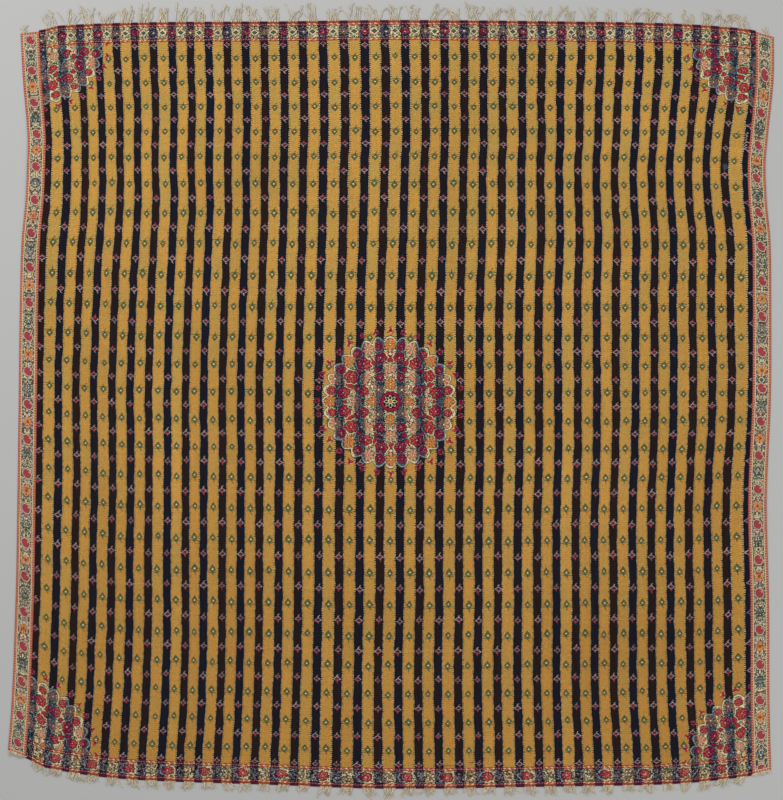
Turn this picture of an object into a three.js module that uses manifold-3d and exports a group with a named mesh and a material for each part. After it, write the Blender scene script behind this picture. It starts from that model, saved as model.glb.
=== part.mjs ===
// Kashmir shawl laid out flat. Millimetres, +Z up, the cloth rests on z = 0.
// One striped field woven with its own end bands, a narrow border sewn to each side,
// and at each end a fringe of warp ends that stand on a narrow strip.
import * as THREE from 'three';
import { mergeVertices } from 'three/addons/utils/BufferGeometryUtils.js';
import Module from 'manifold-3d';

// Cloth, as woven
const CLOTH_WIDTH = 1732;
const CLOTH_LENGTH = 1750;
const BORDER_WIDTH = 42;
const CLOTH_THICKNESS = 1.2;
const SEAM_GAP = 0.3;
const HALF_WIDTH = CLOTH_WIDTH / 2;
const HALF_LENGTH = CLOTH_LENGTH / 2;
const HALF_FIELD = HALF_WIDTH - BORDER_WIDTH;

// Spacing of the sections that the walls run through
const FIELD_COLUMNS = 32;
const FIELD_ROWS = 34;

// Fringe
const YELLOW_STRIPES = 37;
const STRANDS_PER_STRIPE = 3;
const STRAND_SPACING = 7.4;
const STRIP_WIDTH = 3;
const STRAND_SIDES = 3;
const STRAND_RADIUS = 0.55;
const STRAND_TIP_RADIUS = 0.38;
const STRAND_HEIGHT = 0.62;
const STRAND_LIFT = 1.6;
const ROOT_DEPTH = 1.5;

// The outer side edges as the cloth lies: it is drawn in above and spreads below.
const SIDE_EDGES = [
  { y: 850, left: -852, right: 880 },
  { y: 740, left: -846, right: 879 },
  { y: 610, left: -835, right: 866 },
  { y: 545, left: -836, right: 860 },
  { y: 460, left: -840, right: 863 },
  { y: 370, left: -849, right: 872 },
  { y: 240, left: -853, right: 874 },
  { y: 0, left: -856, right: 873 },
  { y: -230, left: -859, right: 863 },
  { y: -460, left: -863, right: 869 },
  { y: -690, left: -872, right: 870 },
  { y: -850, left: -885, right: 874 },
];

// The two ends as the cloth lies, from the left edge (-1) to the right edge (1): both bow out.
const END_EDGES = [
  { across: -1, top: 846, bottom: -801 },
  { across: -0.94, top: 852, bottom: -821 },
  { across: -0.9, top: 861, bottom: -838 },
  { across: -0.7, top: 868, bottom: -864 },
  { across: -0.3, top: 871, bottom: -878 },
  { across: 0, top: 874, bottom: -887 },
  { across: 0.5, top: 870, bottom: -881 },
  { across: 0.75, top: 865, bottom: -876 },
  { across: 0.93, top: 853, bottom: -860 },
  { across: 1, top: 838, bottom: -847 },
];

// The middle of the cloth leans sideways by this much between its two ends.
const LEAN = [
  { y: 900, shift: 7 },
  { y: 460, shift: 6 },
  { y: 0, shift: -2 },
  { y: -900, shift: -6 },
];

// Centres of the yellow stripes across the cloth: those on the left are a little narrower.
const STRIPE_CENTRES = [
  { stripe: 0, across: -0.922 },
  { stripe: 4, across: -0.73 },
  { stripe: 9, across: -0.487 },
  { stripe: 13, across: -0.285 },
  { stripe: 18, across: -0.014 },
  { stripe: 27, across: 0.455 },
  { stripe: 36, across: 0.927 },
];

// Soft ridges where the cloth lifts off the surface: centre, direction, size.
const RIDGES = [
  { x: -800, y: 560, turn: 87, length: 520, width: 150, height: 5 },
  { x: 820, y: 540, turn: 94, length: 460, width: 140, height: 4.5 },
  { x: 832, y: -240, turn: 88, length: 420, width: 120, height: 3 },
  { x: -832, y: -560, turn: 95, length: 360, width: 110, height: 2.5 },
  { x: -650, y: -690, turn: 38, length: 340, width: 150, height: 4 },
  { x: 700, y: -740, turn: 140, length: 300, width: 140, height: 3 },
  { x: 150, y: -810, turn: 82, length: 260, width: 130, height: 3.5 },
  { x: -330, y: 790, turn: 96, length: 280, width: 140, height: 2.5 },
  { x: 470, y: 770, turn: 78, length: 300, width: 150, height: 3 },
];

// Three neighbouring strands of one stripe: how far each leans, waves and reaches.
const TOP_STRANDS = [
  { lean: -7, wave: 2.2, reach: 34 },
  { lean: 1, wave: -2.0, reach: 41 },
  { lean: 8, wave: 1.8, reach: 30 },
];
const BOTTOM_STRANDS = [
  { lean: -4, wave: 1.2, reach: 19 },
  { lean: -1, wave: -1.0, reach: 23 },
  { lean: 3, wave: 1.1, reach: 17 },
];
const TOP_STEPS = 3;
const BOTTOM_STEPS = 2;

// A smooth line through one column of a table, as a function of another column.
function smooth(table, key, column, at) {
  const rows = table[0][key] < table[table.length - 1][key] ? table : [...table].reverse();
  const last = rows.length - 1;
  const held = Math.min(Math.max(at, rows[0][key]), rows[last][key]);
  let i = 0;
  while (i < last - 1 && held > rows[i + 1][key]) i += 1;
  const slope = (j) => {
    const before = rows[Math.max(j - 1, 0)];
    const after = rows[Math.min(j + 1, last)];
    return (after[column] - before[column]) / (after[key] - before[key]);
  };
  const span = rows[i + 1][key] - rows[i][key];
  const t = (held - rows[i][key]) / span;
  const rise = rows[i + 1][column] - rows[i][column];
  const startTurn = slope(i) * span - rise;
  const endTurn = rise - slope(i + 1) * span;
  return rows[i][column] + rise * t + t * (1 - t) * (startTurn * (1 - t) + endTurn * t);
}

// Height of the cloth's underside over the surface at a point.
function lift(x, y) {
  let height = 0;
  for (const ridge of RIDGES) {
    const turn = THREE.MathUtils.degToRad(ridge.turn);
    const along = (x - ridge.x) * Math.cos(turn) + (y - ridge.y) * Math.sin(turn);
    const aside = (y - ridge.y) * Math.cos(turn) - (x - ridge.x) * Math.sin(turn);
    const a = Math.min(Math.abs((2 * along) / ridge.length), 1);
    const b = Math.min(Math.abs((2 * aside) / ridge.width), 1);
    height += ridge.height * Math.cos((a * Math.PI) / 2) ** 2 * Math.cos((b * Math.PI) / 2) ** 2;
  }
  return height;
}

// Where a point of the flat cloth lies: u across, v along, h over the cloth's underside.
function place(u, v, h) {
  const across = u / HALF_WIDTH;
  const top = smooth(END_EDGES, 'across', 'top', across);
  const bottom = smooth(END_EDGES, 'across', 'bottom', across);
  const y = THREE.MathUtils.mapLinear(v, -HALF_LENGTH, HALF_LENGTH, bottom, top);
  const left = smooth(SIDE_EDGES, 'y', 'left', y);
  const right = smooth(SIDE_EDGES, 'y', 'right', y);
  const lean = smooth(LEAN, 'y', 'shift', y) * (1 - across * across);
  const x = THREE.MathUtils.mapLinear(across, -1, 1, left, right) + lean;
  return new THREE.Vector3(x, y, lift(x, y) + h);
}

// Evenly spaced values from one end to the other, both included.
function steps(from, to, count) {
  return Array.from({ length: count + 1 }, (_, i) => THREE.MathUtils.lerp(from, to, i / count));
}

// A geometry from points and the triangles between them.
function geometryOf(points, triangles) {
  const geometry = new THREE.BufferGeometry();
  const position = points.flatMap((point) => [point.x, point.y, point.z]);
  geometry.setAttribute('position', new THREE.Float32BufferAttribute(position, 3));
  geometry.setIndex(triangles.flat());
  return geometry;
}

// A closed wall of cloth over a grid of the flat cloth: two faces and the rim between them.
function clothWall(us, vs) {
  const points = [];
  for (const h of [0, CLOTH_THICKNESS]) {
    for (const v of vs) {
      for (const u of us) points.push(place(u, v, h));
    }
  }
  const wide = us.length;
  const upper = wide * vs.length;
  const at = (i, j) => j * wide + i;
  const triangles = [];
  for (let j = 0; j < vs.length - 1; j += 1) {
    for (let i = 0; i < wide - 1; i += 1) {
      const [a, b, c, d] = [at(i, j), at(i + 1, j), at(i + 1, j + 1), at(i, j + 1)];
      triangles.push([a, c, b], [a, d, c]);
      triangles.push([a + upper, b + upper, c + upper], [a + upper, c + upper, d + upper]);
    }
  }
  const rim = [
    ...us.slice(0, -1).map((_, i) => at(i, 0)),
    ...vs.slice(0, -1).map((_, j) => at(wide - 1, j)),
    ...us.slice(1).map((_, i) => at(wide - 1 - i, vs.length - 1)),
    ...vs.slice(1).map((_, j) => at(0, vs.length - 1 - j)),
  ];
  rim.forEach((a, n) => {
    const b = rim[(n + 1) % rim.length];
    triangles.push([a, b, b + upper], [a, b + upper, a + upper]);
  });
  return geometryOf(points, triangles);
}

// A closed tapered strand through a few points, flat side down.
function strandTube(path) {
  const points = [];
  const triangles = [];
  const upward = new THREE.Vector3(0, 0, 1);
  path.forEach((centre, n) => {
    const before = path[Math.max(n - 1, 0)];
    const after = path[Math.min(n + 1, path.length - 1)];
    const heading = after.clone().sub(before).setZ(0).normalize();
    const aside = heading.clone().cross(upward);
    const radius = THREE.MathUtils.lerp(STRAND_RADIUS, STRAND_TIP_RADIUS, n / (path.length - 1));
    for (let k = 0; k < STRAND_SIDES; k += 1) {
      const angle = Math.PI / 2 + (2 * Math.PI * k) / STRAND_SIDES;
      const spoke = aside.clone().multiplyScalar(Math.cos(angle) * radius);
      points.push(centre.clone().add(spoke).addScaledVector(upward, Math.sin(angle) * radius));
    }
  });
  for (let n = 0; n < path.length - 1; n += 1) {
    for (let k = 0; k < STRAND_SIDES; k += 1) {
      const next = (k + 1) % STRAND_SIDES;
      const [a, b] = [n * STRAND_SIDES + k, n * STRAND_SIDES + next];
      const [c, d] = [b + STRAND_SIDES, a + STRAND_SIDES];
      triangles.push([a, c, b], [a, d, c]);
    }
  }
  const tip = (path.length - 1) * STRAND_SIDES;
  triangles.push([0, 1, 2], [tip + 2, tip + 1, tip]);
  return geometryOf(points, triangles);
}

// A point on the straight line between the two nearest columns of the field.
function placeBetweenColumns(u, v, h) {
  const pitch = (2 * HALF_FIELD) / FIELD_COLUMNS;
  const column = Math.floor((u + HALF_FIELD) / pitch);
  const [before, after] = [column, column + 1].map((n) => place(n * pitch - HALF_FIELD, v, h));
  return before.lerp(after, (u + HALF_FIELD) / pitch - column);
}

// The points of one strand, from inside its strip to its tip.
function strandPath(u, end, strand, stretch, count) {
  const rootLine = end * (HALF_LENGTH + SEAM_GAP + STRIP_WIDTH - ROOT_DEPTH);
  const root = placeBetweenColumns(u, rootLine, STRAND_HEIGHT);
  const reach = strand.reach * stretch + ROOT_DEPTH;
  return steps(0, 1, count).map((t) => {
    const wave = strand.wave * Math.sin(t * Math.PI * 1.7);
    const rise = STRAND_LIFT * Math.sin(t * Math.PI) ** 2;
    return root.clone().add(new THREE.Vector3(strand.lean * t + wave, end * reach * t, rise));
  });
}

const wasm = await Module();
wasm.setup();

// A solid for joining, from a closed geometry.
function toSolid(geometry) {
  const merged = mergeVertices(geometry, 1e-5);
  const vertProperties = new Float32Array(merged.attributes.position.array);
  const triVerts = new Uint32Array(merged.index.array);
  return new wasm.Manifold(new wasm.Mesh({ numProp: 3, vertProperties, triVerts }));
}

// A geometry back from a joined solid.
function toGeometry(solid) {
  const mesh = solid.getMesh();
  const geometry = new THREE.BufferGeometry();
  geometry.setAttribute('position', new THREE.BufferAttribute(mesh.vertProperties, 3));
  geometry.setIndex(new THREE.BufferAttribute(mesh.triVerts, 1));
  return geometry;
}

// One fringe: end is 1 at the top and -1 at the bottom.
function fringe(end, strands, count) {
  const inner = end * (HALF_LENGTH + SEAM_GAP);
  const outer = inner + end * STRIP_WIDTH;
  const columns = steps(-HALF_FIELD, HALF_FIELD, FIELD_COLUMNS);
  let solid = toSolid(clothWall(columns, [Math.min(inner, outer), Math.max(inner, outer)]));
  for (let stripe = 0; stripe < YELLOW_STRIPES; stripe += 1) {
    const centre = smooth(STRIPE_CENTRES, 'stripe', 'across', stripe) * HALF_WIDTH;
    for (let n = 0; n < STRANDS_PER_STRIPE; n += 1) {
      const strand = strands[(n + stripe) % strands.length];
      const stretch = 0.9 + 0.1 * Math.sin(stripe * 2.3 + n);
      const u = centre + (n - (STRANDS_PER_STRIPE - 1) / 2) * STRAND_SPACING;
      const ordered = strands.map((each) => each.lean).sort((a, b) => a - b);
      const path = strandPath(u, end, { ...strand, lean: ordered[n] }, stretch, count);
      solid = solid.add(toSolid(strandTube(path)));
    }
  }
  return toGeometry(solid);
}

// A strip of cloth between two flat widths, over the whole length.
function panel(from, to, columns) {
  const us = steps(from, to, columns);
  return clothWall(us, steps(-HALF_LENGTH, HALF_LENGTH, FIELD_ROWS));
}

const GOLD = { color: 0x8a6a2c, roughness: 0.95, metalness: 0 };
const ROSE = { color: 0xc79a7c, roughness: 0.95, metalness: 0 };
const CREAM = { color: 0xd8c6a0, roughness: 0.9, metalness: 0 };

const PIECES = [
  { name: 'field', geometry: panel(-HALF_FIELD, HALF_FIELD, FIELD_COLUMNS), finish: GOLD },
  { name: 'border_left', geometry: panel(-HALF_WIDTH, -HALF_FIELD - SEAM_GAP, 1), finish: ROSE },
  { name: 'border_right', geometry: panel(HALF_FIELD + SEAM_GAP, HALF_WIDTH, 1), finish: ROSE },
  { name: 'fringe_top', geometry: fringe(1, TOP_STRANDS, TOP_STEPS), finish: CREAM },
  { name: 'fringe_bottom', geometry: fringe(-1, BOTTOM_STRANDS, BOTTOM_STEPS), finish: CREAM },
];

const shawl = new THREE.Group();
for (const { name, geometry, finish } of PIECES) {
  const mesh = new THREE.Mesh(geometry, new THREE.MeshStandardMaterial(finish));
  mesh.name = name;
  shawl.add(mesh);
}

// The origin is the middle of the whole outline, on the surface that the cloth rests on.
const middle = new THREE.Box3().setFromObject(shawl, true).getCenter(new THREE.Vector3());
for (const mesh of shawl.children) mesh.geometry.translate(-middle.x, -middle.y, 0);

export default shawl;
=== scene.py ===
"""Looks of a kashmir moon shawl that lies flat and is seen straight down.

The striped field, its two sewn side borders, the fringes, the sewing and one old mend are
built over the cloth's own lie. The woven pattern is worked out in the materials from each
piece's own map, which holds the place of every point on the flat cloth.
"""

import logging
import math
from dataclasses import dataclass, field
from enum import Enum
from typing import Any, Callable, Sequence

import bpy
import numpy as np
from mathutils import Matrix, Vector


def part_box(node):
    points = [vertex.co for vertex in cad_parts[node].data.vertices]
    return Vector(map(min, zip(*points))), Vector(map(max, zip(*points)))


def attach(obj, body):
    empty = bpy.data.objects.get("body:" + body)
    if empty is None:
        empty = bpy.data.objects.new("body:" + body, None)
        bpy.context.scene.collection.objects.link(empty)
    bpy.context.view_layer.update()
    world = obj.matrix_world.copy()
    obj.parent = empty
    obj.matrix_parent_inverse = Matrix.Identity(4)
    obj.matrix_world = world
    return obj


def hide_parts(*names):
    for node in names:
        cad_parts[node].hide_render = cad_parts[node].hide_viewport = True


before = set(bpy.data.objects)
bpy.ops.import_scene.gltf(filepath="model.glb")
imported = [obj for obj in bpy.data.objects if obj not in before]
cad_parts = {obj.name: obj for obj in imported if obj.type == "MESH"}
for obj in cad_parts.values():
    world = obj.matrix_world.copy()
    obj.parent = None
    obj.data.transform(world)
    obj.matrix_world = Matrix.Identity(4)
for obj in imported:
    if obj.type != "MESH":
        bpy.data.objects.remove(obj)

LOG = logging.getLogger("shawl")
MM = 0.001
WEAVE_MAP = "Weave"
BAKE_MAP = "OFBake"
TRAIL_MAP = "Trail"
# Free edge round a bake's map, when it is one column and when it is folded into several
PLAIN_MARGIN, FOLDED_MARGIN = 0.002, 0.012

# Cloth, in metres
CLOTH_WIDTH = 1.732
CLOTH_LENGTH = 1.75
BORDER_WIDTH = 0.042
CLOTH_THICKNESS = 0.0012
SEAM_GAP = 0.0003
HALF_WIDTH = CLOTH_WIDTH / 2
HALF_LENGTH = CLOTH_LENGTH / 2
HALF_FIELD = HALF_WIDTH - BORDER_WIDTH
STRIP_WIDTH = 0.003
FIELD_COLUMNS = 148

# The pattern's own measures on the loom, in millimetres
PITCH = 43.5
ROW = 66.0
YELLOW_HALF = 11.5
YELLOW_STRIPES = 37
MOON_ROW = 12.3
FIELD_MIDDLE = 20.5
BAND_START = 833.5
BAND_WIDTH = 47.5
FIELD_EDGE = 807.0

# How quickly hand weaving strays from its line along the cloth, for each metre
STRAY_SCALE = 34


class Dye(Enum):
    """The yarns' colours, as they have aged, in sRGB."""

    GOLD = "be8e42"
    GOLD_GREEN = "b28e46"
    # A dimmer gold: the own dye of some stripes, and painted shade towards the bottom end
    GOLD_DIM = "ae7c38"
    NAVY = "161722"
    BROWN = "241917"
    INK = "131218"
    CREAM = "d8c8a0"
    EYE = "c3c5ac"
    ASH = "a59594"
    PALE_BLUE = "7a878f"
    SLATE = "465360"
    TEAL = "2c4650"
    LEAF = "48593d"
    SAGE = "656a43"
    OLIVE = "5c5b34"
    PINE = "434a2a"
    MOSS = "2c3626"
    CRIMSON = "741733"
    WINE = "48162a"
    PLUM = "30171f"
    RED = "9e2b31"
    ROSE = "a9464e"
    ROSE_DEEP = "8c3441"
    RUST = "8e4630"
    BRICK = "963f31"
    WINE_PALE = "853c42"
    CORAL = "c6845f"
    PEACH = "c99c76"
    ORANGE = "c37f36"
    TAN = "756053"
    MAUVE = "8c727a"
    INDIGO = "363c54"
    ECRU = "e8dcc0"
    ECRU_WORN = "c4b393"
    WHITE = "ece8de"

    @property
    def linear(self) -> tuple[float, float, float, float]:
        """The colour as a shader takes it."""
        parts = [int(self.value[i:i + 2], 16) / 255 for i in (0, 2, 4)]
        red, green, blue = (
            p / 12.92 if p <= 0.04045 else ((p + 0.055) / 1.055) ** 2.4 for p in parts
        )
        return red, green, blue, 1.0


class End(Enum):
    """The two ends of the cloth."""

    TOP = 1
    BOTTOM = -1


class Side(Enum):
    """The two sides of the cloth."""

    LEFT = -1
    RIGHT = 1


# Along the cloth in millimetres, and the number of the rose there
ROSES = {
    Side.LEFT: (
        (875, -0.24), (629, 3), (389, 6), (136, 9), (-111, 12), (-363, 15), (-614, 18),
        (-782, 20), (-848, 21), (-875, 21.35),
    ),
    Side.RIGHT: (
        (875, 0.52), (776, 1), (535, 4), (290, 7), (37, 10), (-203, 13), (-453, 16),
        (-703, 19), (-786, 20), (-875, 21.1),
    ),
}


def smooth(table: Sequence[tuple[float, ...]], column: int, at: np.ndarray) -> np.ndarray:
    """A smooth line through one column of a table, as a function of its first column.

    Args:
        table: rows of numbers, sorted either way by the first.
        column: which number of each row to follow.
        at: where to read the line.

    Returns:
        The values there, held at the ends.
    """
    rows = np.array(sorted(table))
    keys, values = rows[:, 0], rows[:, column]
    last = len(keys) - 1
    before = np.maximum(np.arange(last + 1) - 1, 0)
    after = np.minimum(np.arange(last + 1) + 1, last)
    slopes = (values[after] - values[before]) / (keys[after] - keys[before])
    held = np.clip(at, keys[0], keys[-1])
    i = np.clip(np.searchsorted(keys, held, side="right") - 1, 0, len(keys) - 2)
    span = keys[i + 1] - keys[i]
    t = (held - keys[i]) / span
    rise = values[i + 1] - values[i]
    start = slopes[i] * span - rise
    finish = rise - slopes[i + 1] * span
    return values[i] + rise * t + t * (1 - t) * (start * (1 - t) + finish * t)


@dataclass(frozen=True)
class Lie:
    """How the flat cloth lies on the surface. Tables in millimetres, results in metres."""

    # y, left edge, right edge
    side_edges: tuple = (
        (850, -852, 880), (740, -846, 879), (610, -835, 866), (545, -836, 860),
        (460, -840, 863), (370, -849, 872), (240, -853, 874), (0, -856, 873),
        (-230, -859, 863), (-460, -863, 869), (-690, -872, 870), (-850, -885, 874),
    )
    # across, top end, bottom end
    end_edges: tuple = (
        (-1, 846, -801), (-0.94, 852, -821), (-0.9, 861, -838), (-0.7, 868, -864),
        (-0.3, 871, -878), (0, 874, -887), (0.5, 870, -881), (0.75, 865, -876),
        (0.93, 853, -860), (1, 838, -847),
    )
    # y, sideways shift of the middle
    lean: tuple = ((900, 7), (460, 6), (0, -2), (-900, -6))
    # x, y, turn in degrees, length, width, height
    ridges: tuple = (
        (-800, 560, 87, 520, 150, 5), (820, 540, 94, 460, 140, 4.5),
        (832, -240, 88, 420, 120, 3), (-832, -560, 95, 360, 110, 2.5),
        (-650, -690, 38, 340, 150, 4), (700, -740, 140, 300, 140, 3),
        (150, -810, 82, 260, 130, 3.5), (-330, 790, 96, 280, 140, 2.5),
        (470, 770, 78, 300, 150, 3),
    )
    # stripe, across
    stripes: tuple = (
        (-0.6, -0.9515), (0, -0.9195), (4, -0.73), (9, -0.487), (13, -0.285),
        (18, -0.014), (27, 0.455), (36, 0.9205), (36.5, 0.9515),
    )
    # row of motifs, along
    rows: tuple = (
        (-1.37, 1), (0, 0.9085), (5, 0.5765), (10, 0.1739), (12.3, 0.0065),
        (15, -0.1948), (20, -0.6052), (24, -0.9059), (25.35, -1),
    )
    middle_stripe: float = 18
    # The sections that the solid's walls run through
    solid_sections: tuple[int, int] = (32, 34)

    def lift(self, x: np.ndarray, y: np.ndarray) -> np.ndarray:
        """Height of the cloth's underside over the surface, all in metres."""
        height = np.zeros_like(x)
        for cx, cy, turn, length, width, top in self.ridges:
            c, s = math.cos(math.radians(turn)), math.sin(math.radians(turn))
            dx, dy = x - cx * MM, y - cy * MM
            a = np.minimum(np.abs(2 * (dx * c + dy * s) / (length * MM)), 1)
            b = np.minimum(np.abs(2 * (dy * c - dx * s) / (width * MM)), 1)
            height += top * MM * np.cos(a * np.pi / 2) ** 2 * np.cos(b * np.pi / 2) ** 2
        return height

    def place(self, u: np.ndarray, v: np.ndarray) -> np.ndarray:
        """Where points of the flat cloth lie, before the shift to the frame's origin.

        Args:
            u: across the flat cloth from its middle, in metres.
            v: along the flat cloth from its middle, in metres.

        Returns:
            x, y and the underside's z for each point, in the last axis.
        """
        across = u / HALF_WIDTH
        top = smooth(self.end_edges, 1, across) * MM
        bottom = smooth(self.end_edges, 2, across) * MM
        y = bottom + (v / HALF_LENGTH + 1) / 2 * (top - bottom)
        left = smooth(self.side_edges, 1, y / MM) * MM
        right = smooth(self.side_edges, 2, y / MM) * MM
        shift = smooth(self.lean, 1, y / MM) * MM * (1 - across * across)
        x = left + (across + 1) / 2 * (right - left) + shift
        return np.stack([x, y, self.lift(x, y)], axis=-1)

    def flat_u(self, loom_u: np.ndarray) -> np.ndarray:
        """The flat cloth's u where the loom's regular stripes are at loom_u, in metres."""
        stripe = loom_u / (PITCH * MM) + self.middle_stripe
        return smooth(self.stripes, 1, stripe) * HALF_WIDTH

    def flat_v(self, loom_v: np.ndarray) -> np.ndarray:
        """The flat cloth's v where the loom's regular rows are at loom_v, in metres."""
        return smooth(self.rows, 1, MOON_ROW - loom_v / (ROW * MM)) * HALF_LENGTH

    @property
    def loom_width(self) -> tuple[float, float]:
        """The field's two side edges on the loom, in metres."""
        first, last = self.stripes[0][0], self.stripes[-1][0]
        return tuple((s - self.middle_stripe) * PITCH * MM for s in (first, last))

    @property
    def loom_length(self) -> tuple[float, float]:
        """The cloth's bottom and top ends on the loom, in metres."""
        return tuple((MOON_ROW - r) * ROW * MM for r in (self.rows[-1][0], self.rows[0][0]))

    def shift(self) -> np.ndarray:
        """What moves this lie to the frame's origin: the field's middle is compared."""
        us = np.linspace(-HALF_FIELD, HALF_FIELD, self.solid_sections[0] + 1)
        vs = np.linspace(-HALF_LENGTH, HALF_LENGTH, self.solid_sections[1] + 1)
        here = self.place(*np.meshgrid(us, vs))[..., :2].reshape(-1, 2)
        low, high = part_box("field")
        there = (np.array(low[:2]) + np.array(high[:2])) / 2
        return np.append(there - (here.min(0) + here.max(0)) / 2, 0.0)


LIE = Lie()
SHIFT = LIE.shift()


@dataclass(frozen=True)
class WarpDrift:
    """How far the stripes lie aside of even spacing, nothing at the field's two edges."""

    # Places across the cloth, from -1 to 1, that the numbers of each row stand for
    across: tuple = (-0.87, -0.585, -0.235, -0.014, 0.4, 0.715, 0.91)
    # along the cloth, then the drift at each place across, in millimetres
    rows: tuple = (
        (810, 3, 5, -1, 0, 0, 3, -2), (705, 2, 3, -1, 0, -2, -1, -4),
        (590, 1, -2, -2, 2, 6, 0, -7), (417, 6, 7, 1, 1, 6, 1, -2),
        (245, 3, 6, 2, -1, 2, 0, -3), (15, 0, 5, 3, 4, 7, 4, 2),
        (-158, 5, 10, 10, 11, 14, 7, 0), (-388, 4, 12, 11, 11, 11, 4, -3),
        (-618, 4, 16, 12, 10, 12, 4, -2), (-815, 4, 16, 14, 17, 19, 13, 3),
        (-870, 4, 16, 15, 20, 21, 16, 5),
    )

    def at(self, u: np.ndarray, v: np.ndarray) -> np.ndarray:
        """The drift at some places of the flat cloth.

        Args:
            u: across the flat cloth, in metres.
            v: along the flat cloth, in metres.

        Returns:
            The drift in metres.
        """
        edge = HALF_FIELD / HALF_WIDTH
        knots = np.array([-edge, *self.across, edge])
        columns = [smooth(self.rows, n + 1, v / MM) * MM for n in range(len(self.across))]
        table = np.stack([np.zeros_like(v), *columns, np.zeros_like(v)])
        place = np.clip(u / HALF_WIDTH, -edge, edge)
        i = np.clip(np.searchsorted(knots, place, side="right") - 1, 0, len(knots) - 2)
        t = (place - knots[i]) / (knots[i + 1] - knots[i])
        before = np.take_along_axis(table, i[None], 0)[0]
        after = np.take_along_axis(table, i[None] + 1, 0)[0]
        return before + t * (after - before) + self.wobble(u, v)

    def wobble(self, u: np.ndarray, v: np.ndarray) -> np.ndarray:
        """Small waves of the warps, livelier near the sides, nothing at the edges."""
        across = np.abs(u / HALF_FIELD)
        size = (0.3 + 0.9 * across ** 3) * (1 - np.minimum(across, 1) ** 12)
        slow = 0.7 * np.sin(v * 37 + u * 11 + 2.4 * np.sin(v * 5.3 + u * 2.0))
        quick = 0.4 * np.sin(v * 83 - u * 29 + 1.3) + 0.3 * np.sin(v * 131 + u * 61)
        return MM * size * (slow + quick)


DRIFT = WarpDrift()


def cockle(u: np.ndarray, v: np.ndarray) -> np.ndarray:
    """Fine unevenness of the upper face, in metres: slack warps and pulled wefts."""
    slow = np.sin(u * 41 + 2.0 * np.sin(v * 7)) * np.sin(v * 23 + 1.7 * np.sin(u * 9))
    quick = np.sin(u * 97 + v * 31) * np.sin(v * 67 - u * 13)
    return MM * (0.16 * slow + 0.09 * quick)


def swell(u: np.ndarray, v: np.ndarray) -> np.ndarray:
    """Low soft swells where the cloth doesn't quite lie on the surface, in metres."""
    long_one = np.sin(u * 5.3 + 1.9 * np.sin(v * 2.7 + 0.4)) * np.sin(v * 6.1 + 1.4 * u)
    short_one = np.sin(u * 13.7 - v * 4.9 + 1.1) * np.sin(v * 11.3 + 2.2 * np.sin(u * 4.0))
    return MM * np.maximum(0.9 * long_one + 0.7 * short_one, 0) ** 1.5


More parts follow.
